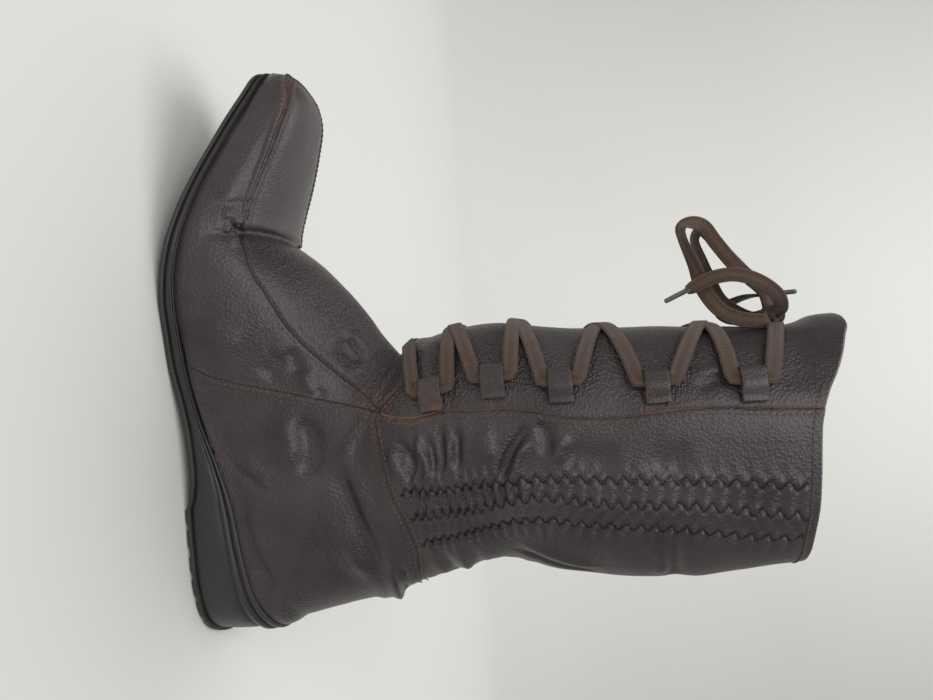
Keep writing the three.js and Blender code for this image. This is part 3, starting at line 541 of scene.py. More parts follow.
class SurfaceLine:
    """A line that runs over the upper."""

    def __init__(self, form: UpperForm, position: np.ndarray, around: np.ndarray) -> None:
        """Keep the line's places.

        Args:
            form: the upper's form.
            position: section numbers.
            around: places around, in quarters.
        """
        self.form = form
        self.position = position
        self.around = around
        turn = form.spread(position, around)
        self.points = form.point(position, turn)
        self.normals = form.normal(position, turn)
        steps = np.linalg.norm(np.diff(self.points, axis=0), axis=1)
        self.run = np.concatenate([[0], np.cumsum(steps)])

    @classmethod
    def from_side(cls, form: UpperForm, table: list[tuple[float, float]], side: int, spacing: float = 2.5) -> "SurfaceLine":
        """Line given by what the side view shows.

        Args:
            form: the upper's form.
            table: along and level of its knots.
            side: OUTER or INNER.
            spacing: distance between its points.

        Returns:
            The line.
        """
        along, level = np.array(table, float).T
        flat = np.stack([form.sizes.x(along), form.sizes.z(level), np.zeros(len(along))], axis=1)
        x, z, _ = curve(flat, spacing).T
        position, around = form.find(x, z)
        return cls(form, position, around if side == OUTER else 4 - around)

    def measure(self, where: np.ndarray, reach: float) -> tuple[np.ndarray, ...]:
        """Distances of points from the line.

        Args:
            where: the points.
            reach: how far away a point still counts.

        Returns:
            Indices of the points near the line, their distance with a sign, negative on the
            left, and their place along it in millimetres.
        """
        low, high = self.points.min(0) - reach, self.points.max(0) + reach
        near = np.nonzero(((where > low) & (where < high)).all(axis=1))[0]
        here = where[near]
        best = np.full(len(near), 1e12)
        signed, run = np.zeros(len(near)), np.zeros(len(near))
        for k in range(len(self.points) - 1):
            step = self.points[k + 1] - self.points[k]
            size = max(float(step @ step), 1e-9)
            t = np.clip((here - self.points[k]) @ step / size, 0, 1)
            off = here - self.points[k] - t[:, None] * step
            gap = (off * off).sum(axis=1)
            closer = gap < best
            aside = off @ np.cross(step, self.normals[k])
            best = np.where(closer, gap, best)
            signed = np.where(closer, np.sign(aside) * np.sqrt(gap), signed)
            run = np.where(closer, self.run[k] + t * math.sqrt(size), run)
        inside = best < reach * reach
        return near[inside], signed[inside], run[inside]

    def at(self, run: np.ndarray) -> tuple[np.ndarray, np.ndarray]:
        """Section and turn at distances along the line."""
        position = np.interp(run, self.run, self.position)
        return position, self.form.spread(position, np.interp(run, self.run, self.around))


def rim_height(along: np.ndarray) -> np.ndarray:
    """Height of the sole's upper edge, which climbs to a cup at the heel."""
    edge = profile(FEATHER_LINE, along) * SIZES.instep + SIZES.welt
    cup = profile(RIM_LINE, along) * SIZES.instep
    return np.where(along > RIM_LINE[-1][0], edge, np.maximum(cup, edge))


class Outline:
    """The sole seen from above."""

    def __init__(self, samples: int = 170) -> None:
        """Lay the loop out, along the outer side to the toe and back along the inner one.

        Args:
            samples: how many spans a side has.
        """
        last = len(PLAN) - 1
        before, after = PLAN[1], PLAN[last - 1]
        rows = np.array([[before[0], -before[2], -before[1]], *PLAN, [after[0], -after[2], -after[1]]])
        found = between(rows, 1 + np.linspace(0, last, samples + 1))
        half = SIZES.ball / 2
        outer = np.stack([SIZES.x(found[:, 0]), -found[:, 1] * half], axis=1)
        inner = np.stack([SIZES.x(found[:, 0]), found[:, 2] * half], axis=1)
        self.samples = samples
        self.loop = np.concatenate([outer, inner[-2:0:-1]])
        ahead = np.roll(self.loop, -1, axis=0) - np.roll(self.loop, 1, axis=0)
        self.normal = unit(np.stack([-ahead[:, 1], ahead[:, 0]], axis=1))
        self.tree = kdtree.KDTree(len(self.loop))
        for k, (x, y) in enumerate(self.loop.tolist()):
            self.tree.insert((x, y, 0.0), k)
        self.tree.balance()

    def seat(self, points: np.ndarray) -> np.ndarray:
        """Leather points drawn out to the sole's edge where they come down to it.

        Args:
            points: points on the upper.

        Returns:
            The points as they lie.
        """
        along = 0.5 - points[:, 0] / SIZES.length
        above = points[:, 2] - rim_height(along)
        low = np.nonzero((above < 14) & (above > -9) & (points[:, 2] < 75))[0]
        moved = points.copy()
        nearest = np.array([self.tree.find((x, y, 0.0))[1] for x, y, _ in points[low].tolist()], int)
        normal = self.normal[nearest]
        inset = -((points[low, :2] - self.loop[nearest]) * normal).sum(axis=1)
        climb = np.maximum(above[low], 0)
        forefoot = smooth((along[low] - 0.4) / 0.1)
        want = 1.95 - forefoot * 1.0 * smooth(climb / 5)
        share = smooth(1 - (climb - 1.5) / 12) * smooth((15 - inset) / 5)
        push = np.maximum(inset - want, 0) * share
        moved[low, :2] += normal * push[:, None]
        return moved


class Leather:
    """The upper's outside with its seams, creases, gathers and wear."""

    def __init__(self, form: UpperForm) -> None:
        """Lay out every line of the surface on both sides.

        Args:
            form: the upper's form.
        """
        self.form = form
        self.outline = Outline()
        self.swing = 2.1
        self.lines: list[tuple[Relief, float, float, SurfaceLine]] = []
        self.gathers: list[tuple[int, SurfaceLine]] = []
        self.seams: dict[tuple[str, int], SurfaceLine] = {}
        for side in (OUTER, INNER):
            for name, table in (
                ("quarter", QUARTER_SEAM), ("instep", INSTEP_SEAM), ("v", V_SEAM), ("ankle", ANKLE_SEAM),
                ("front", FRONT_SEAM),
            ):
                self.seams[name, side] = SurfaceLine.from_side(form, table, side)
            share = 1.0 if side == OUTER else 0.7
            for kind, width, height, table in FOLDS:
                self.lines.append((kind, width, 1.5 * share * height, SurfaceLine.from_side(form, table, side)))
            for name, high in (("quarter", 0.9), ("instep", -0.7), ("front", 0.9)):
                self.lines.append((Relief.STEP, 0.7, high * -side, self.seams[name, side]))
            for name in ("quarter", "instep", "v", "ankle", "front"):
                self.lines.append((Relief.LINE, 0.9, -0.45, self.seams[name, side]))
            for row, table in enumerate(GATHER_ROWS):
                self.gathers.append((row, SurfaceLine.from_side(form, table, side)))
        self.apron = self.apron_line()

    def apron_line(self) -> SurfaceLine:
        """The raised seam around the apron, from its outer rear corner round the tip to the inner one."""
        knots = np.array([
            (8.7, 0.318), (8.0, 0.346), (6.5, 0.346), (4.5, 0.346), (2.8, 0.346), (1.9, 0.352), (1.35, 0.39),
            (1.15, 0.44), (1.1, 0.5), (1.15, 0.56), (1.35, 0.61), (1.9, 0.648), (2.8, 0.654), (4.5, 0.654),
            (6.5, 0.654), (8.0, 0.654), (8.7, 0.682),
        ])
        fine = between(knots, np.linspace(0, len(knots) - 1, 160))
        return SurfaceLine(self.form, fine[:, 0], 4 * fine[:, 1])

    def zigzag(self, run: np.ndarray) -> np.ndarray:
        """How far the gathering thread stands aside of its row, from -1 to 1."""
        phase = self.gather_phase(run)
        return 2 * np.abs(2 * (phase - np.floor(phase + 0.5))) - 1

    @staticmethod
    def gather_phase(run: np.ndarray) -> np.ndarray:
        """Count of zigzag periods from a row's lower end; the low ones are drawn together."""
        fine = np.linspace(0, 260, 1001)
        period = 3.9 + 2.3 * smooth((fine - 28) / 30) + 0.9 * smooth((fine - 90) / 80)
        return np.interp(run, fine, np.cumsum(0.26 / period))

    def lift(self, points: np.ndarray) -> np.ndarray:
        """How far the leather stands off its smooth form.

        Args:
            points: points of the smooth form.

        Returns:
            Distances along the normal, in millimetres.
        """
        total = np.zeros(len(points))
        for kind, width, height, line in self.lines:
            reach = 3 * width if kind is not Relief.STEP else 14.0
            near, aside, run = line.measure(points, reach)
            if kind is Relief.STEP:
                total[near] += height * smooth(aside / width * 0.5 + 0.5) * np.exp(-np.abs(aside) / 6) * (np.abs(aside) < reach)
                continue
            hill = np.exp(-((aside / width) ** 2)) * height
            if kind is Relief.FOLD:
                hill *= smooth(np.minimum(run, line.run[-1] - run) / (0.3 * line.run[-1]))
            total[near] += hill
        for row, line in self.gathers:
            near, aside, run = line.measure(points, 16.0)
            low = 1 - smooth((run - 40) / 25)
            zig = self.zigzag(run)
            off = aside - self.swing * zig
            ends = smooth(run / 4) * smooth((line.run[-1] - run) / 4)
            phase = self.gather_phase(run) * 2 * math.pi
            groove = -1.35 * np.exp(-((off / 1.0) ** 2)) + 0.45 * np.exp(-((aside / 4.5) ** 2))
            puff = 1.15 * np.abs(zig) * np.exp(-(((aside + 1.9 * zig) / 1.9) ** 2))
            pleat = (0.3 + 0.55 * low) * np.cos(phase + math.pi * row) * np.exp(-((aside / 8.0) ** 4))
            total[near] += ends * (groove + puff + pleat)
        near, aside, run = self.apron.measure(points, 7.0)
        pair = np.exp(-(((np.abs(aside) - 1.6) / 1.05) ** 2))
        total[near] += 1.35 * pair - 0.25 * np.exp(-((aside / 0.8) ** 2)) + 0.3 * np.exp(-((aside / 3.2) ** 4))
        total += self.softness(points)
        deep = np.maximum(-1.4 - total, 0)
        return np.maximum(total, -1.4) - 0.9 * np.tanh(deep / 0.9)

    def softness(self, points: np.ndarray) -> np.ndarray:
        """Slow unevenness of worn leather.

        Args:
            points: places on the surface.

        Returns:
            Heights in millimetres.
        """
        foot = smooth((points[:, 0] + 60) / 60)
        ankle = np.exp(-(((points[:, 2] - 128) / 26) ** 2)) * smooth((points[:, 0] + 5) / 20)
        out = np.zeros(len(points))
        for k, (x, y, z) in enumerate(points.tolist()):
            slow = noise.noise(Vector((x / 24, y / 24, z / 24)))
            fine = noise.noise(Vector((x / 9, y / 9, z / 7)))
            pleat = noise.noise(Vector((x / 22, y / 18, z / 4.6 + 7)))
            out[k] = (0.35 + 0.4 * foot[k]) * slow + 0.09 * fine + 0.8 * ankle[k] * pleat
        return out

    def place(self, position: np.ndarray, turn: np.ndarray, lift: float = 0.0) -> tuple[np.ndarray, np.ndarray]:
        """Points on the leather.

        Args:
            position: section numbers.
            turn: places around.
            lift: distance off the leather.

        Returns:
            The points and the outward directions.
        """
        smooth_points = self.form.point(position, turn)
        normals = self.form.normal(position, turn)
        height = self.lift(smooth_points) + lift
        return self.outline.seat(smooth_points + normals * height[:, None]), normals

    def worn(self, points: np.ndarray) -> np.ndarray:
        """How far the colour is rubbed off, from 0 to 1.

        Args:
            points: places on the boot.

        Returns:
            The strengths.
        """
        total = np.zeros(len(points))
        for along, level, radius, strength in WORN_PLACES:
            x, z = float(SIZES.x(along)), float(SIZES.z(level))
            away = (points[:, 0] - x) ** 2 + (points[:, 2] - z) ** 2
            total += strength * np.exp(-away / radius**2)
        return np.clip(total, 0, 1)


def lofted(
    name: str, net: np.ndarray, closed: bool = True, values: dict[str, np.ndarray] | None = None,
    uv_size: tuple[float, float] = (1.0, 1.0), cap_rows: tuple[int, ...] = (), inward: bool = False,
) -> bpy.types.Object:
    """Object whose mesh is a grid laid over a net of points, closed round its rows.

    Args:
        name: the object's name.
        net: points, rows by columns; on a closed body the last column repeats the first.
        closed: whether both ends are filled and the faces turned outward.
        values: named numbers for each point, kept as attributes.
        uv_size: what the UV map counts to, around and along.
        cap_rows: rows that are filled where the body stays open at its other end.
        inward: whether the faces look into the body.

    Returns:
        The object, riding on the boot.
    """
    rows, columns = net.shape[:2]
    bm = bmesh.new()
    layers = {key: bm.verts.layers.float.new(key) for key in (values or {})}
    uv = bm.loops.layers.uv.new("UVMap")
    bmesh.ops.create_grid(bm, x_segments=columns - 1, y_segments=rows - 1, size=1.0, calc_uvs=True)
    flat = (net * MM).tolist()
    places = {}
    for vert in bm.verts:
        column = round((vert.co.x + 1) / 2 * (columns - 1))
        row = round((vert.co.y + 1) / 2 * (rows - 1))
        places[vert.index] = (row, column)
        vert.co = flat[row][column]
        for key, layer in layers.items():
            vert[layer] = float(values[key][row, column])
    for face in bm.faces:
        for loop in face.loops:
            loop[uv].uv = (loop[uv].uv.x * uv_size[0], loop[uv].uv.y * uv_size[1])
    edge = [v for v in bm.verts if places[v.index][1] in (0, columns - 1)]
    bmesh.ops.remove_doubles(bm, verts=edge, dist=1e-7)
    filled = cap_rows or (0, rows - 1)
    rims = [e for e in bm.edges if e.is_boundary and all(places[v.index][0] in filled for v in e.verts)]
    bmesh.ops.holes_fill(bm, edges=rims, sides=0)
    bmesh.ops.recalc_face_normals(bm, faces=bm.faces)
    if closed and bm.calc_volume(signed=True) < 0 or inward:
        bmesh.ops.reverse_faces(bm, faces=bm.faces)
    return finished(name, bm)


def finished(name: str, bm: bmesh.types.BMesh) -> bpy.types.Object:
    """Smooth-shaded object of a mesh in work, riding on the boot.

    Args:
        name: the object's name.
        bm: the mesh, which is freed.

    Returns:
        The object.
    """
    for face in bm.faces:
        face.smooth = True
    mesh = bpy.data.meshes.new(name)
    bm.to_mesh(mesh)
    bm.free()
    piece = bpy.data.objects.new(name, mesh)
    bpy.context.collection.objects.link(piece)
    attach(piece, "root")
    return piece


def sweep(
    points: np.ndarray, across: np.ndarray, out: np.ndarray, section: np.ndarray, closed_path: bool = False
) -> np.ndarray:
    """Net of a section carried along a path.

    Args:
        points: the path.
        across: unit vectors along the section's first axis.
        out: unit vectors along its second axis.
        section: the section's points, as two columns.
        closed_path: whether the path's end meets its start.

    Returns:
        The net, rows along the path, with the first column repeated.
    """
    ring = np.vstack([section, section[:1]])
    net = points[:, None, :] + ring[None, :, :1] * across[:, None, :] + ring[None, :, 1:] * out[:, None, :]
    return np.concatenate([net, net[:1]]) if closed_path else net


def oval(width: float, height: float, power: float, count: int) -> np.ndarray:
    """Section with rounded sides.

    Args:
        width: size along its first axis.
        height: size along its second axis.
        power: 2 for an ellipse, more for a flatter band.
        count: how many points.

    Returns:
        The points.
    """
    angle = np.arange(count) / count * 2 * math.pi
    c, s = np.cos(angle), np.sin(angle)
    return np.stack([
        width / 2 * np.sign(c) * np.abs(c) ** (2 / power),
        height / 2 * np.sign(s) * np.abs(s) ** (2 / power),
    ], axis=1)


def tangents(points: np.ndarray) -> np.ndarray:
    """Directions along a path."""
    return unit(np.gradient(points, axis=0))


class Graph:
    """Short way to write a material's nodes."""

    def __init__(self, name: str) -> None:
        """Start a material with its main shader.

        Args:
            name: the material's name.
        """
        self.material = bpy.data.materials.new(name)
        self.material.use_nodes = True
        self.tree = self.material.node_tree
        self.shader = self.tree.nodes["Principled BSDF"]

    def add(self, kind: str, inputs: dict | None = None, **settings: object) -> bpy.types.Node:
        """One node.

        Args:
            kind: its type.
            inputs: values or sockets for its inputs, by name or number.
            settings: its other properties.

        Returns:
            The node.
        """
        node = self.tree.nodes.new(kind)
        for key, value in settings.items():
            setattr(node, key, value)
        for key, value in (inputs or {}).items():
            self.join(node, key, value)
        return node

    def join(self, node: bpy.types.Node, key: str | int, value: object) -> None:
        """Set an input, or link it to a socket."""
        if isinstance(value, bpy.types.NodeSocket):
            self.tree.links.new(value, node.inputs[key])
        else:
            node.inputs[key].default_value = value

    def math(self, operation: str, a: object, b: object = 0.0, clamp: bool = False) -> bpy.types.NodeSocket:
        """Result of one sum."""
        return self.add("ShaderNodeMath", {0: a, 1: b}, operation=operation, use_clamp=clamp).outputs[0]

    def mix(self, share: object, a: object, b: object) -> bpy.types.NodeSocket:
        """Blend of two colours."""
        node = self.add("ShaderNodeMix", data_type="RGBA")
        self.join(node, 0, share)
        self.join(node, 6, a)
        self.join(node, 7, b)
        return node.outputs[2]

    def place(self) -> bpy.types.NodeSocket:
        """Object coordinates."""
        return self.add("ShaderNodeTexCoord").outputs["Object"]

    def noise(self, scale: float, detail: float = 2.0, where: object = None, rough: float = 0.5) -> bpy.types.NodeSocket:
        """Soft noise."""
        inputs = {"Vector": where or self.place(), "Scale": scale, "Detail": detail, "Roughness": rough}
        return self.add("ShaderNodeTexNoise", inputs).outputs["Fac"]

    def ramp(self, value: object, low: float, high: float) -> bpy.types.NodeSocket:
        """Value stretched from low..high to 0..1."""
        return self.add("ShaderNodeMapRange", {"Value": value, "From Min": low, "From Max": high}).outputs[0]

    def attribute(self, name: str) -> bpy.types.NodeSocket:
        """Number kept at the mesh's points."""
        return self.add("ShaderNodeAttribute", attribute_name=name).outputs["Fac"]

    def bump(self, height: object, depth: float, strength: float = 1.0) -> None:
        """Give the shader a bump of a depth in metres."""
        node = self.add("ShaderNodeBump", {"Height": height, "Distance": depth, "Strength": strength})
        self.tree.links.new(node.outputs[0], self.shader.inputs["Normal"])

    def set(self, **values: object) -> None:
        """Set the shader's inputs; an underscore stands for a space."""
        for key, value in values.items():
            self.join(self.shader, key.replace("_", " "), value)


@dataclass(frozen=True)
class LeatherFinish:
    """Waxed dark leather with fine grain."""

    name: str = "dark_leather"
    deep: tuple[float, ...] = (0.02, 0.0135, 0.0155, 1)
    light: tuple[float, ...] = (0.046, 0.032, 0.036, 1)
    rubbed: tuple[float, ...] = (0.1, 0.05, 0.03, 1)
    roughness: float = 0.45

    def build(self) -> bpy.types.Material:
        """Material for the upper, with pebble, wrinkle and wear from its attributes."""
        g = Graph(self.name)
        where = g.place()
        cloud = g.ramp(g.noise(28, 3, where), 0.35, 0.68)
        colour = g.mix(cloud, self.deep, self.light)
        cell = g.add("ShaderNodeTexVoronoi", {"Vector": where, "Scale": 760.0, "Randomness": 0.9}).outputs["Distance"]
        # Painted shade: the grain's pores are darkened in colour, as shade lying in the pits.
        pore_shade = g.math("MULTIPLY", g.ramp(cell, 0.5, 0.1), 0.42)
        colour = g.mix(pore_shade, colour, tuple(c * 0.25 for c in self.deep[:3]) + (1,))
        flecks = g.ramp(g.noise(420, 3, where), 0.42, 0.62)
        worn = g.math("MULTIPLY", g.attribute("worn"), flecks, clamp=True)
        g.set(Base_Color=g.mix(worn, colour, self.rubbed))
        pebble, wrinkle = g.attribute("pebble"), g.attribute("wrinkle")
        pore = g.math("MULTIPLY", cell, g.math("ADD", g.math("MULTIPLY", pebble, 1.5), 0.35))
        turned = g.add(
            "ShaderNodeMapping",
            {"Vector": where, "Rotation": (0, math.radians(42), 0), "Scale": (0.28, 0.8, 1.0)},
        ).outputs[0]
        folds = g.math("MULTIPLY", g.noise(900, 2, turned, 0.6), g.math("MULTIPLY", wrinkle, 2.4))
        skin = g.noise(1500, 2, where)
        height = g.math("ADD", g.math("ADD", pore, folds), g.math("MULTIPLY", skin, 0.45))
        g.bump(height, 0.00038)
        rough = g.math("ADD", g.math("MULTIPLY", g.noise(70, 3, where), 0.12), self.roughness - 0.06)
        g.set(Roughness=g.math("ADD", rough, g.math("MULTIPLY", worn, 0.3)))
        g.set(Coat_Weight=0.22, Coat_Roughness=0.3, Specular_IOR_Level=0.5)
        return g.material


@dataclass(frozen=True)
class RubberFinish:
    """Black moulded rubber, scuffed low down."""

    name: str = "black_rubber"
    colour: tuple[float, ...] = (0.026, 0.025, 0.024, 1)
    scuffed: tuple[float, ...] = (0.06, 0.058, 0.053, 1)

    def build(self) -> bpy.types.Material:
        """Material for the sole."""
        g = Graph(self.name)
        where = g.place()
        scratch = g.add("ShaderNodeMapping", {"Vector": where, "Scale": (0.25, 1.0, 1.0)}).outputs[0]
        marks = g.ramp(g.noise(520, 3, scratch, 0.6), 0.6, 0.75)
        dirt = g.ramp(g.noise(60, 4, where), 0.42, 0.7)
        low = g.add("ShaderNodeSeparateXYZ", {0: where}).outputs[2]
        foot = g.ramp(low, 0.03, 0.0)
        scuff = g.math("MULTIPLY", g.math("ADD", g.math("MULTIPLY", marks, 0.7), 0.15), g.math("MULTIPLY", dirt, foot))
        g.set(Base_Color=g.mix(scuff, self.colour, self.scuffed))
        g.set(Roughness=g.math("ADD", g.math("MULTIPLY", dirt, 0.2), 0.38))
        g.bump(g.math("ADD", g.noise(900, 3, where), g.math("MULTIPLY", marks, -0.6)), 0.0001)
        return g.material


@dataclass(frozen=True)
class LiningFinish:
    """Soft brown lining and footbed."""

    name: str = "brown_lining"
    colour: tuple[float, ...] = (0.14, 0.1, 0.075, 1)
    worn: tuple[float, ...] = (0.09, 0.062, 0.046, 1)

    def build(self) -> bpy.types.Material:
        """Material for the inside."""
        g = Graph(self.name)
        where = g.place()
        g.set(Base_Color=g.mix(g.ramp(g.noise(45, 4, where), 0.35, 0.7), self.colour, self.worn), Roughness=0.85)
        g.bump(g.noise(1300, 2, where), 0.00012)
        return g.material


@dataclass(frozen=True)
class WovenFinish:
    """Flat woven lace."""

    name: str = "woven_lace"
    dark: tuple[float, ...] = (0.04, 0.022, 0.014, 1)
    light: tuple[float, ...] = (0.125, 0.074, 0.05, 1)
    ribs: float = 7.0

    def build(self) -> bpy.types.Material:
        """Material whose UV map counts once around and in tenths of the width along."""
        g = Graph(self.name)
        uv = g.add("ShaderNodeUVMap", uv_map="UVMap").outputs[0]
        split = g.add("ShaderNodeSeparateXYZ", {0: uv})
        across = g.math("MULTIPLY", split.outputs[0], self.ribs * 2)
        lean = g.math("PINGPONG", across, 1.0)
        rise = g.math("ADD", g.math("MULTIPLY", split.outputs[1], 1.0), g.math("MULTIPLY", lean, 0.6))
        yarn = g.math("SINE", g.math("MULTIPLY", rise, 2 * math.pi))
        rib = g.math("SINE", g.math("MULTIPLY", across, math.pi))
        height = g.math("ADD", g.math("MULTIPLY", yarn, 0.35), g.math("ADD", g.math("MULTIPLY", rib, 0.2), 0.5))
        fuzz = g.noise(260, 3)
        # Painted shade: the weave's hollows take the dark colour and its crests the light one, with a random mottle of
        # the yarn on top.
        share = g.math("MULTIPLY", height, g.math("ADD", g.math("MULTIPLY", fuzz, 1.1), 0.35), clamp=True)
        g.set(Base_Color=g.mix(share, self.dark, self.light), Roughness=0.88, Sheen_Weight=0.15)
        g.bump(height, 0.00035)
        return g.material


@dataclass(frozen=True)
class ThreadFinish:
    """Sewing thread or a rubbed leather edge."""

    name: str
    colour: tuple[float, ...]
    rubbed: tuple[float, ...]
    roughness: float = 0.7

    def build(self) -> bpy.types.Material:
        """Material that takes its wear from the points."""
        g = Graph(self.name)
        change = g.ramp(g.noise(300, 3), 0.35, 0.65)
        share = g.math("MULTIPLY", g.attribute("worn"), g.math("ADD", change, 0.3), clamp=True)
        varied = g.mix(g.math("MULTIPLY", change, 0.45), self.colour, tuple(c * 0.5 for c in self.colour[:3]) + (1,))
        g.set(Base_Color=g.mix(share, varied, self.rubbed), Roughness=self.roughness)
        g.bump(g.noise(2200, 2), 0.0001)
        return g.material


@dataclass(frozen=True)
class MetalFinish:
    """Lacquered lace tip."""

    name: str = "grey_tip"
    colour: tuple[float, ...] = (0.11, 0.125, 0.11, 1)

    def build(self) -> bpy.types.Material:
        """Material for the tips."""
        g = Graph(self.name)
        tone = g.ramp(g.noise(500, 3), 0.3, 0.7)
        g.set(Base_Color=g.mix(tone, self.colour, tuple(c * 0.55 for c in self.colour[:3]) + (1,)))
        g.set(Roughness=0.35, Coat_Weight=0.3)
        g.bump(g.noise(900, 2), 0.00005)
        return g.material


@dataclass(frozen=True)
class PaintFinish:
    """Pale matt floor."""

    name: str = "pale_floor"
    colour: tuple[float, ...] = (0.735, 0.735, 0.71, 1)

    def build(self) -> bpy.types.Material:
        """Material for the floor."""
        g = Graph(self.name)
        tone = g.mix(g.ramp(g.noise(1.6, 2), 0.3, 0.7), self.colour, tuple(c * 0.97 for c in self.colour[:3]) + (1,))
        g.set(Base_Color=tone, Roughness=0.8)
        return g.material


class Finishes:
    """All the boot's materials, made once."""

    def __init__(self) -> None:
        """Build each material."""
        self.leather = LeatherFinish().build()
        self.rubber = RubberFinish().build()
        self.lining = LiningFinish().build()
        self.woven = WovenFinish().build()
        self.thread = ThreadFinish("seam_thread", (0.1, 0.07, 0.055, 1), (0.15, 0.08, 0.05, 1)).build()
        self.edge = ThreadFinish("cut_edge", (0.07, 0.043, 0.034, 1), (0.17, 0.085, 0.055, 1)).build()
        # Near-black gathering thread; the seams' painted shadow tubes use it as well.
        self.gather = ThreadFinish("gather_thread_and_seam_shadow", (0.012, 0.006, 0.006, 1), (0.02, 0.01, 0.01, 1)).build()
        self.tip = MetalFinish().build()
        self.floor = PaintFinish().build()


def dress(piece: bpy.types.Object, slot: str, *materials: bpy.types.Material) -> bpy.types.Object:
    """Give a piece its materials.

    Args:
        piece: the object.
        slot: name of the record's material slot; not used.
        materials: the materials, in the order of the faces' numbers.

    Returns:
        The piece.
    """
    piece.data.materials.clear()
    for material in materials:
        piece.data.materials.append(material)
    return piece


@dataclass
class Upper:
    """The upper's leather as one hollow body with its lining."""

    leather: Leather
    finishes: Finishes
    outer_columns: int = 172
    inner_columns: int = 92
    outside_rows: int = 352
    inside_rows: int = 44

    def rows(self) -> np.ndarray:
        """Section numbers of the outside's rows, close where the sections lie far apart."""
        form = self.leather.form
        at = np.linspace(0, 30, 301)
        steps = np.zeros(300)
        for turn, weight in ((0.15, 0.25), (0.25, 0.35), (0.38, 0.25), (0.5, 0.15)):
            line = form.point(at, np.full(301, turn))
            steps += weight * np.linalg.norm(np.diff(line, axis=0), axis=1)
        steps *= 0.64 + 0.36 * smooth((at[1:] - 16) / 3)
        run = np.concatenate([[0], np.cumsum(steps)])
        rest = float(SIZES.top - SIZES.z(1.617)) * 0.9
        low = int(self.outside_rows * run[-1] / (run[-1] + rest))
        return np.concatenate([
            np.interp(np.linspace(0, run[-1], low), run, at),
            30 + np.linspace(0, 1, self.outside_rows - low + 1)[1:],
        ])

    def build(self) -> bpy.types.Object:
        """Model the upper.

        Returns:
            The object.
        """
        form = self.leather.form
        around = np.concatenate([
            np.linspace(0, 2, self.outer_columns + 1)[:-1], np.linspace(2, 4, self.inner_columns + 1),
        ])
        turn = around / 4
        end = form.collar_end(turn)
        rows = self.rows()
        position = np.stack([np.where(s <= 30, s, 30 + (s - 30) * (end - 30)) for s in rows])
        turns = form.spread(position, np.broadcast_to(around, position.shape))
        flat, normals = self.leather.place(position.ravel(), turns.ravel())
        outside = flat.reshape(*position.shape, 3)
        normal = normals.reshape(*position.shape, 3)
        tip = outside[0]
        centre = tip.mean(axis=0)
        cap = [centre + (tip - centre) * math.cos(a) + np.array([-0.9, 0, 0.2]) * math.sin(a) for a in (1.3, 0.9, 0.45)]
        rim, across = outside[-1], normal[-1]
        wall = SIZES.wall
        lip = [
            rim + across * (-wall / 2 * (1 - math.cos(a))) + np.array([0, 0, 0.9]) * math.sin(a)
            for a in np.linspace(0, math.pi, 7)[1:]
        ]
        facing = [self.inside(end - (end - 2.6) * t, turn, wall) for t in (0.012, 0.024, 0.036)]
        net = np.concatenate([np.array(cap), outside, np.array(lip), np.array(facing)])
        net[:, -1] = net[:, 0]
        worn = np.zeros(net.shape[:2])
        worn[3:3 + len(rows)] = self.leather.worn(flat).reshape(position.shape) * self.seam_share(flat).reshape(position.shape)
        pebble, wrinkle = self.grain(flat, position, turns)
        grains = {"worn": worn}
        for key, value in (("pebble", pebble), ("wrinkle", wrinkle)):
            grains[key] = np.zeros(net.shape[:2])
            grains[key][3:3 + len(rows)] = value
        piece = lofted("upper_leather", net, closed=False, values=grains, cap_rows=(0,))
        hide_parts("upper")
        return dress(piece, "leather", self.finishes.leather)

    def inside(self, position: np.ndarray, turn: np.ndarray, depth: float) -> np.ndarray:
        """One loop of the inside.

        Args:
            position: its section numbers.
            turn: its places around.
            depth: how far it lies within the outside.

        Returns:
            The loop's points.
        """
        form = self.leather.form
        return form.point(position, turn) - form.normal(position, turn) * depth

    def build_lining(self) -> bpy.types.Object:
        """The lining, from just inside the collar down into the toe."""
        turn = np.linspace(0, 1, 97)
        end = self.leather.form.collar_end(turn)
        rows = [
            self.inside(end - (end - 1.6) * t, turn, SIZES.wall + 1.1 * float(smooth((t - 0.015) * 60)) - 0.1)
            for t in 0.022 + 0.978 * np.linspace(0, 1, self.inside_rows)
        ]
        net = np.array(rows)[::-1]
        net[:, -1] = net[:, 0]
        piece = lofted("upper_lining", net[:, ::-1], closed=False, cap_rows=(0,), inward=True)
        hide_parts("upper")
        return dress(piece, "lining", self.finishes.lining)

    def seam_share(self, points: np.ndarray) -> np.ndarray:
        """Wear shows close to the seams alone.

        Args:
            points: places on the leather.

        Returns:
            Shares from 0 to 1.
        """
        total = np.full(len(points), 0.06)
        lines = [*self.leather.seams.values(), self.leather.apron]
        for line in lines:
            near, aside, _ = line.measure(points, 6.0)
            total[near] = np.maximum(total[near], np.exp(-((aside / 2.6) ** 2)))
        return total

    def grain(self, points: np.ndarray, position: np.ndarray, turn: np.ndarray) -> tuple[np.ndarray, np.ndarray]:
        """How pebbled and how wrinkled the leather is.

        Args:
            points: its points.
            position: their sections.
            turn: their turns.

        Returns:
            Two grids of shares.
        """
        z = points[:, 2].reshape(position.shape)
        front = smooth((np.abs(turn - 0.5) - 0.19) / -0.03)
        shaft = smooth((position - 16.5) / 1.5)
        instep = smooth((position - 8.6) / 0.8) * (1 - smooth((position - 16.5) / 1.5))
        instep_front = smooth((np.abs(turn - 0.5) - 0.15) / -0.03)
        pebble = 0.3 + front * shaft * (0.75 - 0.35 * smooth((z - 190) / 60)) + 0.45 * instep * instep_front
        wrinkle = instep * instep_front * 1.3 + 0.12
        return pebble, wrinkle


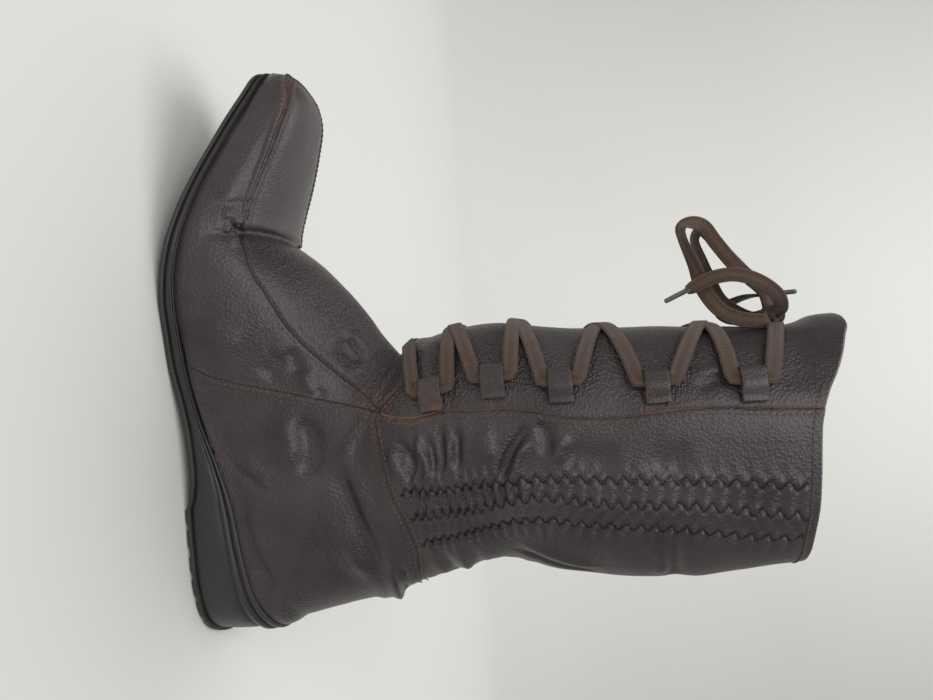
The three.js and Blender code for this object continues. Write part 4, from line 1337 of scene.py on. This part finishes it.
@dataclass
class Sole:
    """Tread and moulded sole unit."""

    finishes: Finishes
    outline: Outline
    forefoot: tuple[float, float, int] = (0.505, 0.845, 9)
    heel: tuple[float, float, int] = (0.045, 0.295, 6)
    side: tuple[tuple[float, float], ...] = (
        (0.0, -2.0), (0.0, -0.4), (0.03, -0.05), (0.1, 0.1), (0.3, 0.35), (0.5, 0.3), (0.64, -0.1), (0.67, -0.75),
        (0.7, -0.8), (0.715, 0.2), (0.735, 1.0), (0.765, 1.4), (0.8, 1.4), (0.83, 1.0), (0.85, 0.1), (0.865, -0.8),
        (0.885, -0.8), (0.9, 0.3), (0.925, 0.9), (0.965, 0.9), (0.99, 0.5), (1.0, -0.3), (0.985, -2.0), (0.965, -3.5),
        (0.96, -5.0),
    )

    def ring(self, grow: float, height: callable) -> np.ndarray:
        """One loop of the sole.

        Args:
            grow: how far it lies outside the outline.
            height: its height at places along.

        Returns:
            The loop's points, the first repeated at the end.
        """
        flat = self.outline.loop + self.outline.normal * grow
        points = np.column_stack([flat, height(0.5 - flat[:, 0] / SIZES.length)])
        return np.vstack([points, points[:1]])

    @staticmethod
    def floor(along: np.ndarray) -> np.ndarray:
        """Height of the tread's underside."""
        return profile(FLOOR_LINE, along) * SIZES.instep

    def grooved(self, along: np.ndarray, edge: bool = False) -> np.ndarray:
        """Height of the underside with its cross grooves; the forefoot's ones stop short of the edge."""
        height = self.floor(along)
        for first, end, count in (self.heel,) if edge else (self.forefoot, self.heel):
            for k in range(count):
                away = np.abs(along - (first + k * (end - first) / count)) * SIZES.length
                height = height + SIZES.groove_depth * (1 - smooth((away - SIZES.groove_width / 2 + 0.5) / 0.9))
        return height

    def halves(self, loop: np.ndarray) -> tuple[np.ndarray, np.ndarray]:
        """The outer and the inner half of an open loop, both from the heel to the toe."""
        count = self.outline.samples
        return loop[:count + 1], np.concatenate([loop[:1], loop[:count - 1:-1]])

    def build_unit(self) -> bpy.types.Object:
        """The moulded body above the tread, with the rib that follows its rim."""
        low = lambda along: self.floor(along) + SIZES.tread + SIZES.gap
        rings = []
        for share, grow in self.side:
            height = lambda along, share=share: low(along) + share * (rim_height(along) - low(along))
            rings.append(self.ring(grow - SIZES.sole_step, height)[:-1])
        outer = [self.halves(ring)[0] for ring in rings]
        inner = [self.halves(ring)[1] for ring in rings]
        over = [outer[-1] + (inner[-1] - outer[-1]) * t for t in (0.25, 0.5, 0.75)]
        under = [inner[0] + (outer[0] - inner[0]) * t for t in (0.5, 1.0)]
        piece = lofted("sole_body", np.stack([*outer, *over, *inner[::-1], *under], axis=1))
        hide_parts("sole_unit")
        return dress(piece, "rubber", self.finishes.rubber)

    def build_tread(self) -> bpy.types.Object:
        """The tread layer, grooved underneath."""
        edge = SIZES.tread_edge
        inset = self.ring(-edge, self.grooved)[:-1]
        lower = self.ring(-0.3, lambda along: self.grooved(along, True) + 0.35 * edge)[:-1]
        middle = self.ring(0.0, lambda along: np.maximum(self.floor(along) + edge, self.grooved(along, True) + 0.3))[:-1]
        top = self.ring(0.0, lambda along: self.floor(along) + SIZES.tread - 0.2)[:-1]
        shut = self.ring(-0.3, lambda along: self.floor(along) + SIZES.tread)[:-1]
        outer = lambda loop: self.halves(loop)[0]
        inner = lambda loop: self.halves(loop)[1]
        across = [outer(inset) + (inner(inset) - outer(inset)) * t for t in np.linspace(0, 1, 7)]
        columns = [
            outer(lower), *across, inner(lower), inner(middle), inner(top), inner(shut), outer(shut), outer(top),
            outer(middle), outer(lower),
        ]
        piece = lofted("tread", np.stack(columns, axis=1))
        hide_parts("outsole")
        return dress(piece, "rubber", self.finishes.rubber)


@dataclass
class Stitching:
    """Seam threads, the piped edge and the gathering zigzags."""

    leather: Leather
    finishes: Finishes
    length: float = 1.9
    width: float = 0.85
    spacing: float = 2.7

    def row(self, line: SurfaceLine, offset: float, start: float = 0.0, stop: float = 0.0) -> list[tuple[np.ndarray, ...]]:
        """Places of a row of stitches beside a line.

        Args:
            line: the seam.
            offset: distance to its side.
            start: how much of its start is left bare.
            stop: how much of its end is left bare.

        Returns:
            Points, directions along and outward directions.
        """
        total = line.run[-1] - start - stop
        run = start + (np.arange(int(total / self.spacing)) + 0.5) * self.spacing
        place = np.stack([np.interp(run, line.run, line.points[:, k]) for k in range(3)], axis=1)
        normal = unit(np.stack([np.interp(run, line.run, line.normals[:, k]) for k in range(3)], axis=1))
        way = tangents(place)
        target = place + np.cross(way, normal) * offset
        position, turn = line.at(run)
        facing = np.abs(normal[:, 1]) > 0.25
        found_p, found = self.leather.form.find(target[:, 0], target[:, 2])
        found_t = self.leather.form.spread(found_p, np.where(place[:, 1] > 0, 4 - found, found))
        position = np.where(facing, found_p, position)
        turn = np.where(facing, found_t, turn)
        points, normals = self.leather.place(position, turn)
        points = np.where(facing[:, None], points, target + normals * 0.9)
        return [(points, way, normals)]

    def thread(self, name: str, rows: list[tuple[np.ndarray, ...]], material: bpy.types.Material) -> bpy.types.Object:
        """One object of many stitches.

        Args:
            name: the object's name.
            rows: places of the stitches.
            material: their finish.

        Returns:
            The object.
        """
        points, ways, normals = (np.concatenate([row[k] for row in rows]) for k in range(3))
        grain = bmesh.new()
        bmesh.ops.create_uvsphere(grain, u_segments=6, v_segments=4, radius=0.5)
        bmesh.ops.scale(grain, vec=(self.length, self.width, self.width), verts=grain.verts)
        local = np.array([v.co[:] for v in grain.verts])
        faces = [[v.index for v in face.verts] for face in grain.faces]
        grain.free()
        sides = unit(np.cross(normals, ways))
        ways = np.cross(sides, normals)
        centre = points + normals * self.width * 0.15
        verts = centre[:, None, :] + local[None, :, :1] * ways[:, None, :]
        verts = verts + local[None, :, 1:2] * sides[:, None, :] + local[None, :, 2:] * normals[:, None, :]
        flat = verts.reshape(-1, 3)
        size = len(local)
        mesh = bpy.data.meshes.new(name)
        mesh.from_pydata((flat * MM).tolist(), [], [[i + k * size for i in f] for k in range(len(points)) for f in faces])
        mesh.polygons.foreach_set("use_smooth", [True] * len(mesh.polygons))
        worn = mesh.attributes.new("worn", "FLOAT", "POINT")
        worn.data.foreach_set("value", np.repeat(self.leather.worn(points), size).astype(np.float32))
        piece = bpy.data.objects.new(name, mesh)
        bpy.context.collection.objects.link(piece)
        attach(piece, "root")
        return dress(piece, "lace", material)

    def build_seams(self) -> bpy.types.Object:
        """Stitch rows of all seams on both sides."""
        rows = []
        for side in (OUTER, INNER):
            seams = {name: self.leather.seams[name, side] for name in ("quarter", "instep", "v", "ankle", "front")}
            flip = -side
            for offset in (1.7, 3.9):
                rows += self.row(seams["quarter"], flip * offset, start=6)
            rows += self.row(seams["instep"], -flip * 1.8, start=3)
            rows += self.row(seams["instep"], flip * 1.9, start=40)
            rows += self.row(seams["instep"], -flip * 4.4, start=55)
            for offset in (-1.7, 1.7):
                rows += self.row(seams["v"], offset, start=3)
                rows += self.row(seams["ankle"], offset, start=2, stop=5)
            rows += self.row(seams["front"], flip * 2.6, start=6)
        hem = self.hem()
        rows += [hem]
        for offset in (-2.1, 2.1):
            rows += self.row(self.leather.apron, offset)
        return self.thread("seam_stitches", rows, self.finishes.thread)

    def build_seam_shadow_tubes(self) -> None:
        """Near-black tubes along the seams where the panels meet: painted shadow of the gap between the panels."""
        for (name, side), line in self.leather.seams.items():
            if name == "front":
                continue
            run = np.arange(0.0, line.run[-1], 0.9)
            points, normals = self.leather.place(*line.at(run))
            across = unit(np.cross(tangents(points), normals))
            net = sweep(points + normals * 0.02, across, normals, oval(0.55, 0.5, 2.0, 6))
            label = "outer" if side == OUTER else "inner"
            # Painted shadow: a near-black tube laid in the seam's groove.
            piece = lofted(f"painted_seam_shadow_{name}_{label}", net, values={"worn": np.zeros(net.shape[:2])})
            dress(piece, "lace", self.finishes.gather)

    def hem(self) -> tuple[np.ndarray, ...]:
        """Places of the row just under the collar."""
        form = self.leather.form
        turn = np.concatenate([np.linspace(0.335, -0.335, 110)]) % 1.0
        end = form.collar_end(turn)
        position = end - 3.2 / np.linalg.norm(form.point(end, turn) - form.point(end - 0.5, turn), axis=1) * 0.5
        points, normals = self.leather.place(position, turn)
        return points, tangents(points), normals

    def build_edges(self) -> bpy.types.Object:
        """The rubbed cut edge along each front seam of the shaft."""
        nets = []
        for side in (OUTER, INNER):
            line = self.leather.seams["front", side]
            run = np.arange(2.0, line.run[-1] + 2.0, 1.0)
            position, turn = line.at(np.minimum(run, line.run[-1]))
            points, normals = self.leather.place(position, turn)
            way = tangents(points)
            across = unit(np.cross(way, normals))
            wave = np.array([noise.noise(Vector((r / 7, side * 5.0, 0))) for r in run]) * 0.5
            points = points + across * (wave + side * 0.2)[:, None] + normals * 0.25
            nets.append(sweep(points, across, normals, oval(0.8, 0.75, 2.0, 8)))
        pieces = []
        for net, side in zip(nets, ("outer", "inner")):
            worn = np.repeat(self.leather.worn(net[:, 0])[:, None], net.shape[1], axis=1)
            piece = lofted(f"cut_edge_{side}", net, values={"worn": worn})
            pieces.append(dress(piece, "leather", self.finishes.edge))
        return pieces[0]

    def build_gathers(self) -> None:
        """The zigzag threads that gather the shaft."""
        for number, (row, line) in enumerate(self.leather.gathers):
            run = np.arange(1.0, line.run[-1] - 1.0, 0.55)
            place = np.stack([np.interp(run, line.run, line.points[:, k]) for k in range(3)], axis=1)
            normal = unit(np.stack([np.interp(run, line.run, line.normals[:, k]) for k in range(3)], axis=1))
            way = tangents(place)
            target = place + np.cross(way, normal) * (self.leather.swing * self.leather.zigzag(run))[:, None]
            position, found = self.leather.form.find(target[:, 0], target[:, 2])
            turn = self.leather.form.spread(position, np.where(place[:, 1] > 0, 4 - found, found))
            points, normals = self.leather.place(position, turn)
            low = 1 - smooth((run - 40) / 25)
            points = points + normals * (0.35 + 0.4 * low)[:, None]
            way = tangents(points)
            across = unit(np.cross(way, normals))
            net = sweep(points, across, normals, oval(0.9, 0.7, 2.0, 6))
            worn = np.zeros(net.shape[:2])
            side = "outer" if number < 3 else "inner"
            piece = lofted(f"gather_{side}_{row + 1}", net, values={"worn": worn})
            dress(piece, "lace", self.finishes.gather)


@dataclass
class Lacing:
    """Tabs, the lace across the shaft and the bow."""

    leather: Leather
    finishes: Finishes
    span_steps: int = 16
    section: np.ndarray = field(default_factory=lambda: oval(SIZES.lace_width, SIZES.lace_thickness, 4.0, 16))

    @property
    def tab_lift(self) -> float:
        """Height of the middle of a tab's opening over the leather."""
        return SIZES.gap + SIZES.tab_wall + (SIZES.lace_thickness + SIZES.lace_play) / 2 + SIZES.gap

    def station(self, level: np.ndarray, around: np.ndarray, lift: np.ndarray) -> tuple[np.ndarray, np.ndarray]:
        """Points over the shaft's smooth form, and outward directions."""
        level, around, lift = (np.atleast_1d(np.asarray(v, float)) for v in (level, around, lift))
        position, turn = self.leather.form.on_shaft(level, around)
        normal = self.leather.form.normal(position, turn)
        return self.leather.form.point(position, turn) + normal * lift[:, None], normal

    def tab_frame(self, level: float, side: int) -> tuple[np.ndarray, ...]:
        """Middle of a tab's opening, and its outward, upward and forward directions."""
        point, normal = self.station(level, side * TAB_AROUND, self.tab_lift)
        ahead, _ = self.station(level, side * (TAB_AROUND - 0.03), self.tab_lift)
        behind, _ = self.station(level, side * (TAB_AROUND + 0.03), self.tab_lift)
        forward = unit(ahead - behind)[0]
        upward = unit(np.cross(forward, normal[0])) * (1 if side < 0 else -1)
        return point[0], normal[0], upward, np.cross(normal[0], upward) * (1 if side < 0 else -1)

    def build_tab(self, level: float, side: int, name: str) -> bpy.types.Object:
        """A folded strip of leather that holds the lace.

        Args:
            level: its height as a level.
            side: OUTER or INNER.
            name: the CAD node that it stands for.

        Returns:
            The object.
        """
        point, normal, upward, forward = self.tab_frame(level, side)
        half = (SIZES.lace_width + SIZES.lace_play) / 2
        hole = (SIZES.lace_thickness + SIZES.lace_play) / 2
        tail = SIZES.tab_length - half - SIZES.tab_wall
        path = np.array([
            (-tail - 1.5, -hole - 0.5, 0), (-tail + 1.0, -hole + 0.3, 0), (-half, hole * 0.75 + 0.5, 0), (0, hole + 0.55, 0),
            (half - 0.7, hole + 0.35, 0), (half + 0.35, 0.1, 0), (half - 0.6, -hole - 0.35, 0), (0, -hole - 0.5, 0),
            (-half, -hole - 0.5, 0), (-tail, -hole - 0.6, 0),
        ])
        local = curve(path, 0.7)
        points = point + local[:, :1] * forward + local[:, 1:2] * normal
        way = tangents(points)
        across = np.broadcast_to(upward, points.shape)
        out = np.cross(way, across)
        narrow = 1 - 0.04 * smooth((local[:, 0] + tail) / (tail + half))
        net = sweep(points, across * narrow[:, None], out, oval(SIZES.tab_width, 0.95, 5.0, 20))
        worn = np.repeat(self.leather.worn(net.mean(axis=1))[:, None], net.shape[1], axis=1)
        edge = np.abs((net - points[:, None]) @ upward) > SIZES.tab_width / 2 - 0.9
        values = {"worn": np.clip(worn + 0.25 * edge, 0, 1), "pebble": np.full(net.shape[:2], 0.1), "wrinkle": np.zeros(net.shape[:2])}
        piece = lofted(name.replace("lace_tab", "tab"), net, values=values)
        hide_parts(name)
        return dress(piece, "leather", self.finishes.leather)

    def strand(self, side: int) -> np.ndarray:
        """Net of one strand, from the start bar's middle to the knot.

        Args:
            side: side of its first tab.

        Returns:
            The net.
        """
        mouth = (SIZES.tab_width / 2 + TAB_RUNOUT) / (SIZES.top - SIZES.instep)
        begin = np.array([START_LEVEL, 0.0, START_LIFT])
        points, normals = [], []
        lift = CROSSING_LIFT if side > 0 else START_LIFT

        def over(rows: list[np.ndarray]) -> None:
            steps = (len(rows) - 1) * self.span_steps
            at = between(np.array(rows), np.arange(1, steps) / self.span_steps)
            found, normal = self.station(at[:, 0], at[:, 1], at[:, 2])
            points.extend(found)
            normals.extend(normal)

        first, normal = self.station(*begin)
        points.append(first[0])
        normals.append(normal[0])
        for index, level in enumerate(TAB_LEVELS):
            here = side if index % 2 == 0 else -side
            entry = np.array([level - mouth, here * TAB_AROUND, self.tab_lift])
            crossing = [] if index == 0 else [np.array([CROSSING_LEVELS[index - 1], 0.0, lift])]
            over([begin, *crossing, entry])
            point, normal, upward, _ = self.tab_frame(level, here)
            half = SIZES.tab_width / 2
            for offset in (-half - TAB_RUNOUT, -half, 0, half, half + TAB_RUNOUT):
                points.append(point + upward * offset)
                normals.append(normal)
            begin = np.array([level + mouth, here * TAB_AROUND, self.tab_lift])
        last = side if len(TAB_LEVELS) % 2 else -side
        over([begin, np.array([LACE_END[0], last * LACE_END[1], CROSSING_LIFT])])
        found, normal = self.station(LACE_END[0], last * LACE_END[1], CROSSING_LIFT)
        points.append(found[0])
        normals.append(normal[0])
        path = np.array(points)
        way = tangents(path)
        across = unit(np.cross(way, np.array(normals)))
        return sweep(path, across, np.cross(across, way), self.section)

    def ribbon(self, name: str, table: np.ndarray, width: float, node: str, facing: Vector = Vector((0, 1, 0))) -> tuple[bpy.types.Object, np.ndarray]:
        """A flat band along a given route.

        Args:
            name: the object's name.
            table: x, y, z and turn of its knots.
            width: width of the band.
            node: the CAD node that it stands for.
            facing: the direction that the band shows its broad side to.

        Returns:
            The object and its centreline.
        """
        fine = curve(table, 0.9)
        points = fine[:, :3]
        way = tangents(points)
        look = np.array(facing)
        aside = np.cross(way, look)
        aside = unit(aside - (aside * way).sum(axis=1, keepdims=True) * way)
        out = np.cross(aside, way)
        angle = np.radians(fine[:, 3:4])
        across = aside * np.cos(angle) + out * np.sin(angle)
        section = oval(width, SIZES.lace_thickness, 4.0, 16)
        net = sweep(points, across, np.cross(across, way), section)
        length = float(np.linalg.norm(np.diff(points, axis=0), axis=1).sum())
        piece = lofted(name, net, uv_size=(1.0, length / 0.85))
        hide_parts(node)
        return dress(piece, "lace", self.finishes.woven), points

    def build_crossings(self) -> None:
        """The two strands between the tabs."""
        for side, name in ((OUTER, "lace_strand_outer"), (INNER, "lace_strand_inner")):
            net = self.strand(side)
            length = float(np.linalg.norm(np.diff(net.mean(axis=1), axis=0), axis=1).sum())
            piece = lofted(name, net, uv_size=(1.0, length / 0.85))
            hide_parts("lace_crossings")
            dress(piece, "lace", self.finishes.woven)

    def knot_centre(self) -> np.ndarray:
        """Middle of the knot."""
        return self.station(KNOT_LEVEL, 0.0, KNOT_FORM[0] * SIZES.knot / 2 + SIZES.gap)[0][0]

    def knot_face(self, target: tuple[float, ...]) -> np.ndarray:
        """Where a strand on its way to a point leaves the knot."""
        centre = self.knot_centre()
        way = unit(np.array(target[:3], float) - centre)
        radii = np.array(KNOT_FORM) * SIZES.knot / 2
        return centre + way * (1 / np.linalg.norm(way / radii) - 0.5)

    def build_knot(self) -> bpy.types.Object:
        """The knot, wound of the same band."""
        centre = self.knot_centre()
        radii = np.array(KNOT_FORM) * SIZES.knot / 2
        nets = []
        for tilt, turn, grow, width in ((0.2, 0.0, 1.0, 6.5), (-0.5, 0.9, 0.92, 6.5), (1.3, 0.4, 0.86, 6.0)):
            angle = np.linspace(0, 2 * math.pi, 41)[:-1]
            ring = np.stack([np.cos(angle), np.zeros(40), np.sin(angle)], axis=1)
            spin = np.array(Matrix.Rotation(tilt, 3, "X") @ Matrix.Rotation(turn, 3, "Z"))
            ring = ring @ spin.T
            out = unit(ring / radii)
            points = centre + ring * radii * grow
            axis = spin @ np.array([0, 1, 0])
            across = unit(axis - (out @ axis)[:, None] * out)
            nets.append(sweep(points, across, out, oval(width, 1.6, 3.0, 14), closed_path=True))
        bm = bmesh.new()
        bmesh.ops.create_uvsphere(bm, u_segments=32, v_segments=20, radius=1.0)
        core = radii * 0.93
        bmesh.ops.scale(bm, vec=tuple(core * MM), verts=bm.verts)
        bmesh.ops.translate(bm, vec=tuple(centre * MM), verts=bm.verts)
        piece = finished("knot", bm)
        dress(piece, "lace", self.finishes.woven)
        for k, net in enumerate(nets):
            wrap = lofted(f"knot_wrap_{k + 1}", net, uv_size=(1.0, 30.0))
            dress(wrap, "lace", self.finishes.woven)
        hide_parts("bow_knot")
        return piece

    def build_tip(self, end: np.ndarray, name: str) -> bpy.types.Object:
        """A rolled metal tip that carries on from a lace end.

        Args:
            end: the band's centreline.
            name: the CAD node that it stands for.

        Returns:
            The object.
        """
        way = unit(end[-1] - end[-4])
        reach = np.array([-1.5, -1.2, 0.0, 0.4, SIZES.tip_length - 1.0, SIZES.tip_length - 0.3, SIZES.tip_length])
        size = np.array([0.6, 0.95, 1.0, 0.92, 0.88, 0.7, 0.3])
        side = unit(np.cross(way, np.array([0.0, 1.0, 0.0])))
        out = np.cross(side, way)
        ring = oval(2.6, 2.3, 2.0, 14)
        ring = np.vstack([ring, ring[:1]])
        points = end[-1] + reach[:, None] * way
        net = points[:, None] + (ring[None, :, :1] * side + ring[None, :, 1:] * out) * size[:, None, None]
        piece = lofted(name.replace("lace_", ""), net)
        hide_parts(name)
        return dress(piece, "lace_tip", self.finishes.tip)

    def build_bow(self) -> None:
        """Knot, loops and ends."""
        knot = self.build_knot()
        routes = (
            ("long_loop", BOW_LONG_LOOP, True, "bow_long_loop", None, (0, 1, 0)),
            ("short_loop", BOW_SHORT_LOOP, True, "bow_short_loop", None, (0, 1, 0)),
            ("outer_end", BOW_OUTER_END, False, "bow_outer_end", "lace_tip_outer", (0, 1, 0)),
            ("inner_end", BOW_INNER_END, False, "bow_inner_end", "lace_tip_inner", (1, 0, 0)),
        )
        for name, table, loops, node, tip, facing in routes:
            route = [(*self.knot_face(table[0]), table[0][3]), *table]
            if loops:
                route.append((*self.knot_face(table[-1]), table[-1][3]))
            width = SIZES.lace_width if loops else SIZES.lace_width - 0.5
            piece, line = self.ribbon(name, np.array(route, float), width, node, Vector(facing))
            pieces = [self.build_tip(line, tip)] if tip else [knot] if name == "long_loop" else []

    def build(self) -> None:
        """Make everything."""
        for number, level in enumerate(TAB_LEVELS, start=1):
            self.build_tab(level, OUTER, f"lace_tab_outer_{number}")
            self.build_tab(level, INNER, f"lace_tab_inner_{number}")
        self.build_crossings()
        self.build_bow()


@dataclass
class Studio:
    """Camera, floor and lights."""

    finishes: Finishes
    distance: float = 346.0
    roll: float = 4.2
    dip: float = 7.0
    focal_pixels: float = 700.0
    aim_x: float = 6.3
    aim_z: float = 134.6

    def build_camera(self) -> None:
        """The camera looks at the outer side from a little above and is rolled to the left."""
        dip, roll = math.radians(self.dip), math.radians(self.roll)
        ahead = Vector((0, math.cos(dip), -math.sin(dip)))
        up = Vector((0, math.sin(dip), math.cos(dip)))
        along = Vector((1, 0, 0))
        right = up * math.cos(roll) + along * math.sin(roll)
        down = up * -math.sin(roll) + along * math.cos(roll)
        data = bpy.data.cameras.new("camera")
        data.sensor_width = 36.0
        data.sensor_fit = "HORIZONTAL"
        data.lens = self.focal_pixels / 933 * 36
        data.clip_start = 0.01
        camera = bpy.data.objects.new("camera", data)
        turn = Matrix((right, -down, -ahead)).transposed()
        place = (Vector((self.aim_x, 0, self.aim_z)) - ahead * self.distance) * MM
        camera.matrix_world = Matrix.Translation(place) @ turn.to_4x4()
        bpy.context.collection.objects.link(camera)
        bpy.context.scene.camera = camera

    def build_floor(self) -> None:
        """A pale floor that sweeps up far behind the boot."""
        profile_points = [(-2.5, 0), (1.2, 0)]
        angle = np.linspace(0, math.pi / 2, 24)[1:]
        profile_points += [(1.2 + 0.9 * math.sin(a), 0.9 * (1 - math.cos(a))) for a in angle]
        profile_points += [(2.1, 3.0)]
        bm = bmesh.new()
        start = [bm.verts.new((-3.5, y, z - 0.0002)) for y, z in profile_points]
        edges = [bm.edges.new(pair) for pair in zip(start, start[1:])]
        made = bmesh.ops.extrude_edge_only(bm, edges=edges)["geom"]
        bmesh.ops.translate(bm, vec=(7, 0, 0), verts=[g for g in made if isinstance(g, bmesh.types.BMVert)])
        bmesh.ops.recalc_face_normals(bm, faces=bm.faces)
        for face in bm.faces:
            face.smooth = True
        mesh = bpy.data.meshes.new("floor")
        bm.to_mesh(mesh)
        bm.free()
        floor = bpy.data.objects.new("floor", mesh)
        bpy.context.collection.objects.link(floor)
        floor.data.materials.append(self.finishes.floor)
        floor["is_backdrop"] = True

    def light(self, name: str, place: tuple[float, float, float], aim: tuple[float, float, float], size: float, power: float) -> None:
        """A square soft light.

        Args:
            name: its name.
            place: where it hangs, in metres.
            aim: what it points at.
            size: its side, in metres.
            power: its strength, in watts.
        """
        data = bpy.data.lights.new(name, "AREA")
        data.size = size
        data.energy = power
        lamp = bpy.data.objects.new(name, data)
        lamp.location = place
        lamp.rotation_mode = "QUATERNION"
        lamp.rotation_quaternion = (Vector(aim) - Vector(place)).to_track_quat("-Z", "Y")
        bpy.context.collection.objects.link(lamp)

    def build_lights(self) -> None:
        """Soft room light with a broad light on the camera's side."""
        world = bpy.data.worlds.new("room")
        world.use_nodes = True
        back = world.node_tree.nodes["Background"]
        back.inputs["Color"].default_value = (0.955, 0.95, 0.925, 1)
        back.inputs["Strength"].default_value = 0.36
        bpy.context.scene.world = world
        self.light("key", (-0.3, -1.25, 1.05), (0, 0, 0.14), 1.15, 13.0)
        self.light("overhead", (0.0, -0.3, 1.6), (0, 0.1, 0.1), 0.9, 4.6)
        self.light("backdrop_wash", (0.0, 0.6, 1.9), (0, 2.1, 0.4), 1.4, 21.0)
        bpy.context.scene.view_settings.view_transform = "Standard"


def build_boot() -> None:
    """Build the boot's pieces in order."""
    finishes = Finishes()
    studio = Studio(finishes)
    studio.build_camera()
    studio.build_floor()
    studio.build_lights()
    LOG.info("studio ready")
    leather = Leather(UpperForm(SIZES))
    lacing = Lacing(leather, finishes)
    lacing.build()
    LOG.info("lacing ready")
    upper = Upper(leather, finishes)
    upper.build()
    upper.build_lining()
    LOG.info("upper ready")
    sole = Sole(finishes, leather.outline)
    sole.build_unit()
    sole.build_tread()
    LOG.info("sole ready")
    insole = bpy.data.objects[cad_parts["insole"].name]
    dress(insole, "", finishes.lining)
    stitching = Stitching(leather, finishes)
    stitching.build_seams()
    stitching.build_seam_shadow_tubes()
    stitching.build_edges()
    stitching.build_gathers()
    LOG.info("stitching ready")


def main() -> None:
    """Build the scene and note its size."""
    logging.basicConfig(level=logging.INFO, format="%(name)s: %(message)s")
    build_boot()
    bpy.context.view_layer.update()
    triangles = {o.name: sum(len(p.vertices) - 2 for p in o.data.polygons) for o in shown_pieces() if o.type == "MESH"}
    LOG.info("triangles: %d in %d pieces", sum(triangles.values()), len(triangles))


if __name__ == "__main__":
    main()
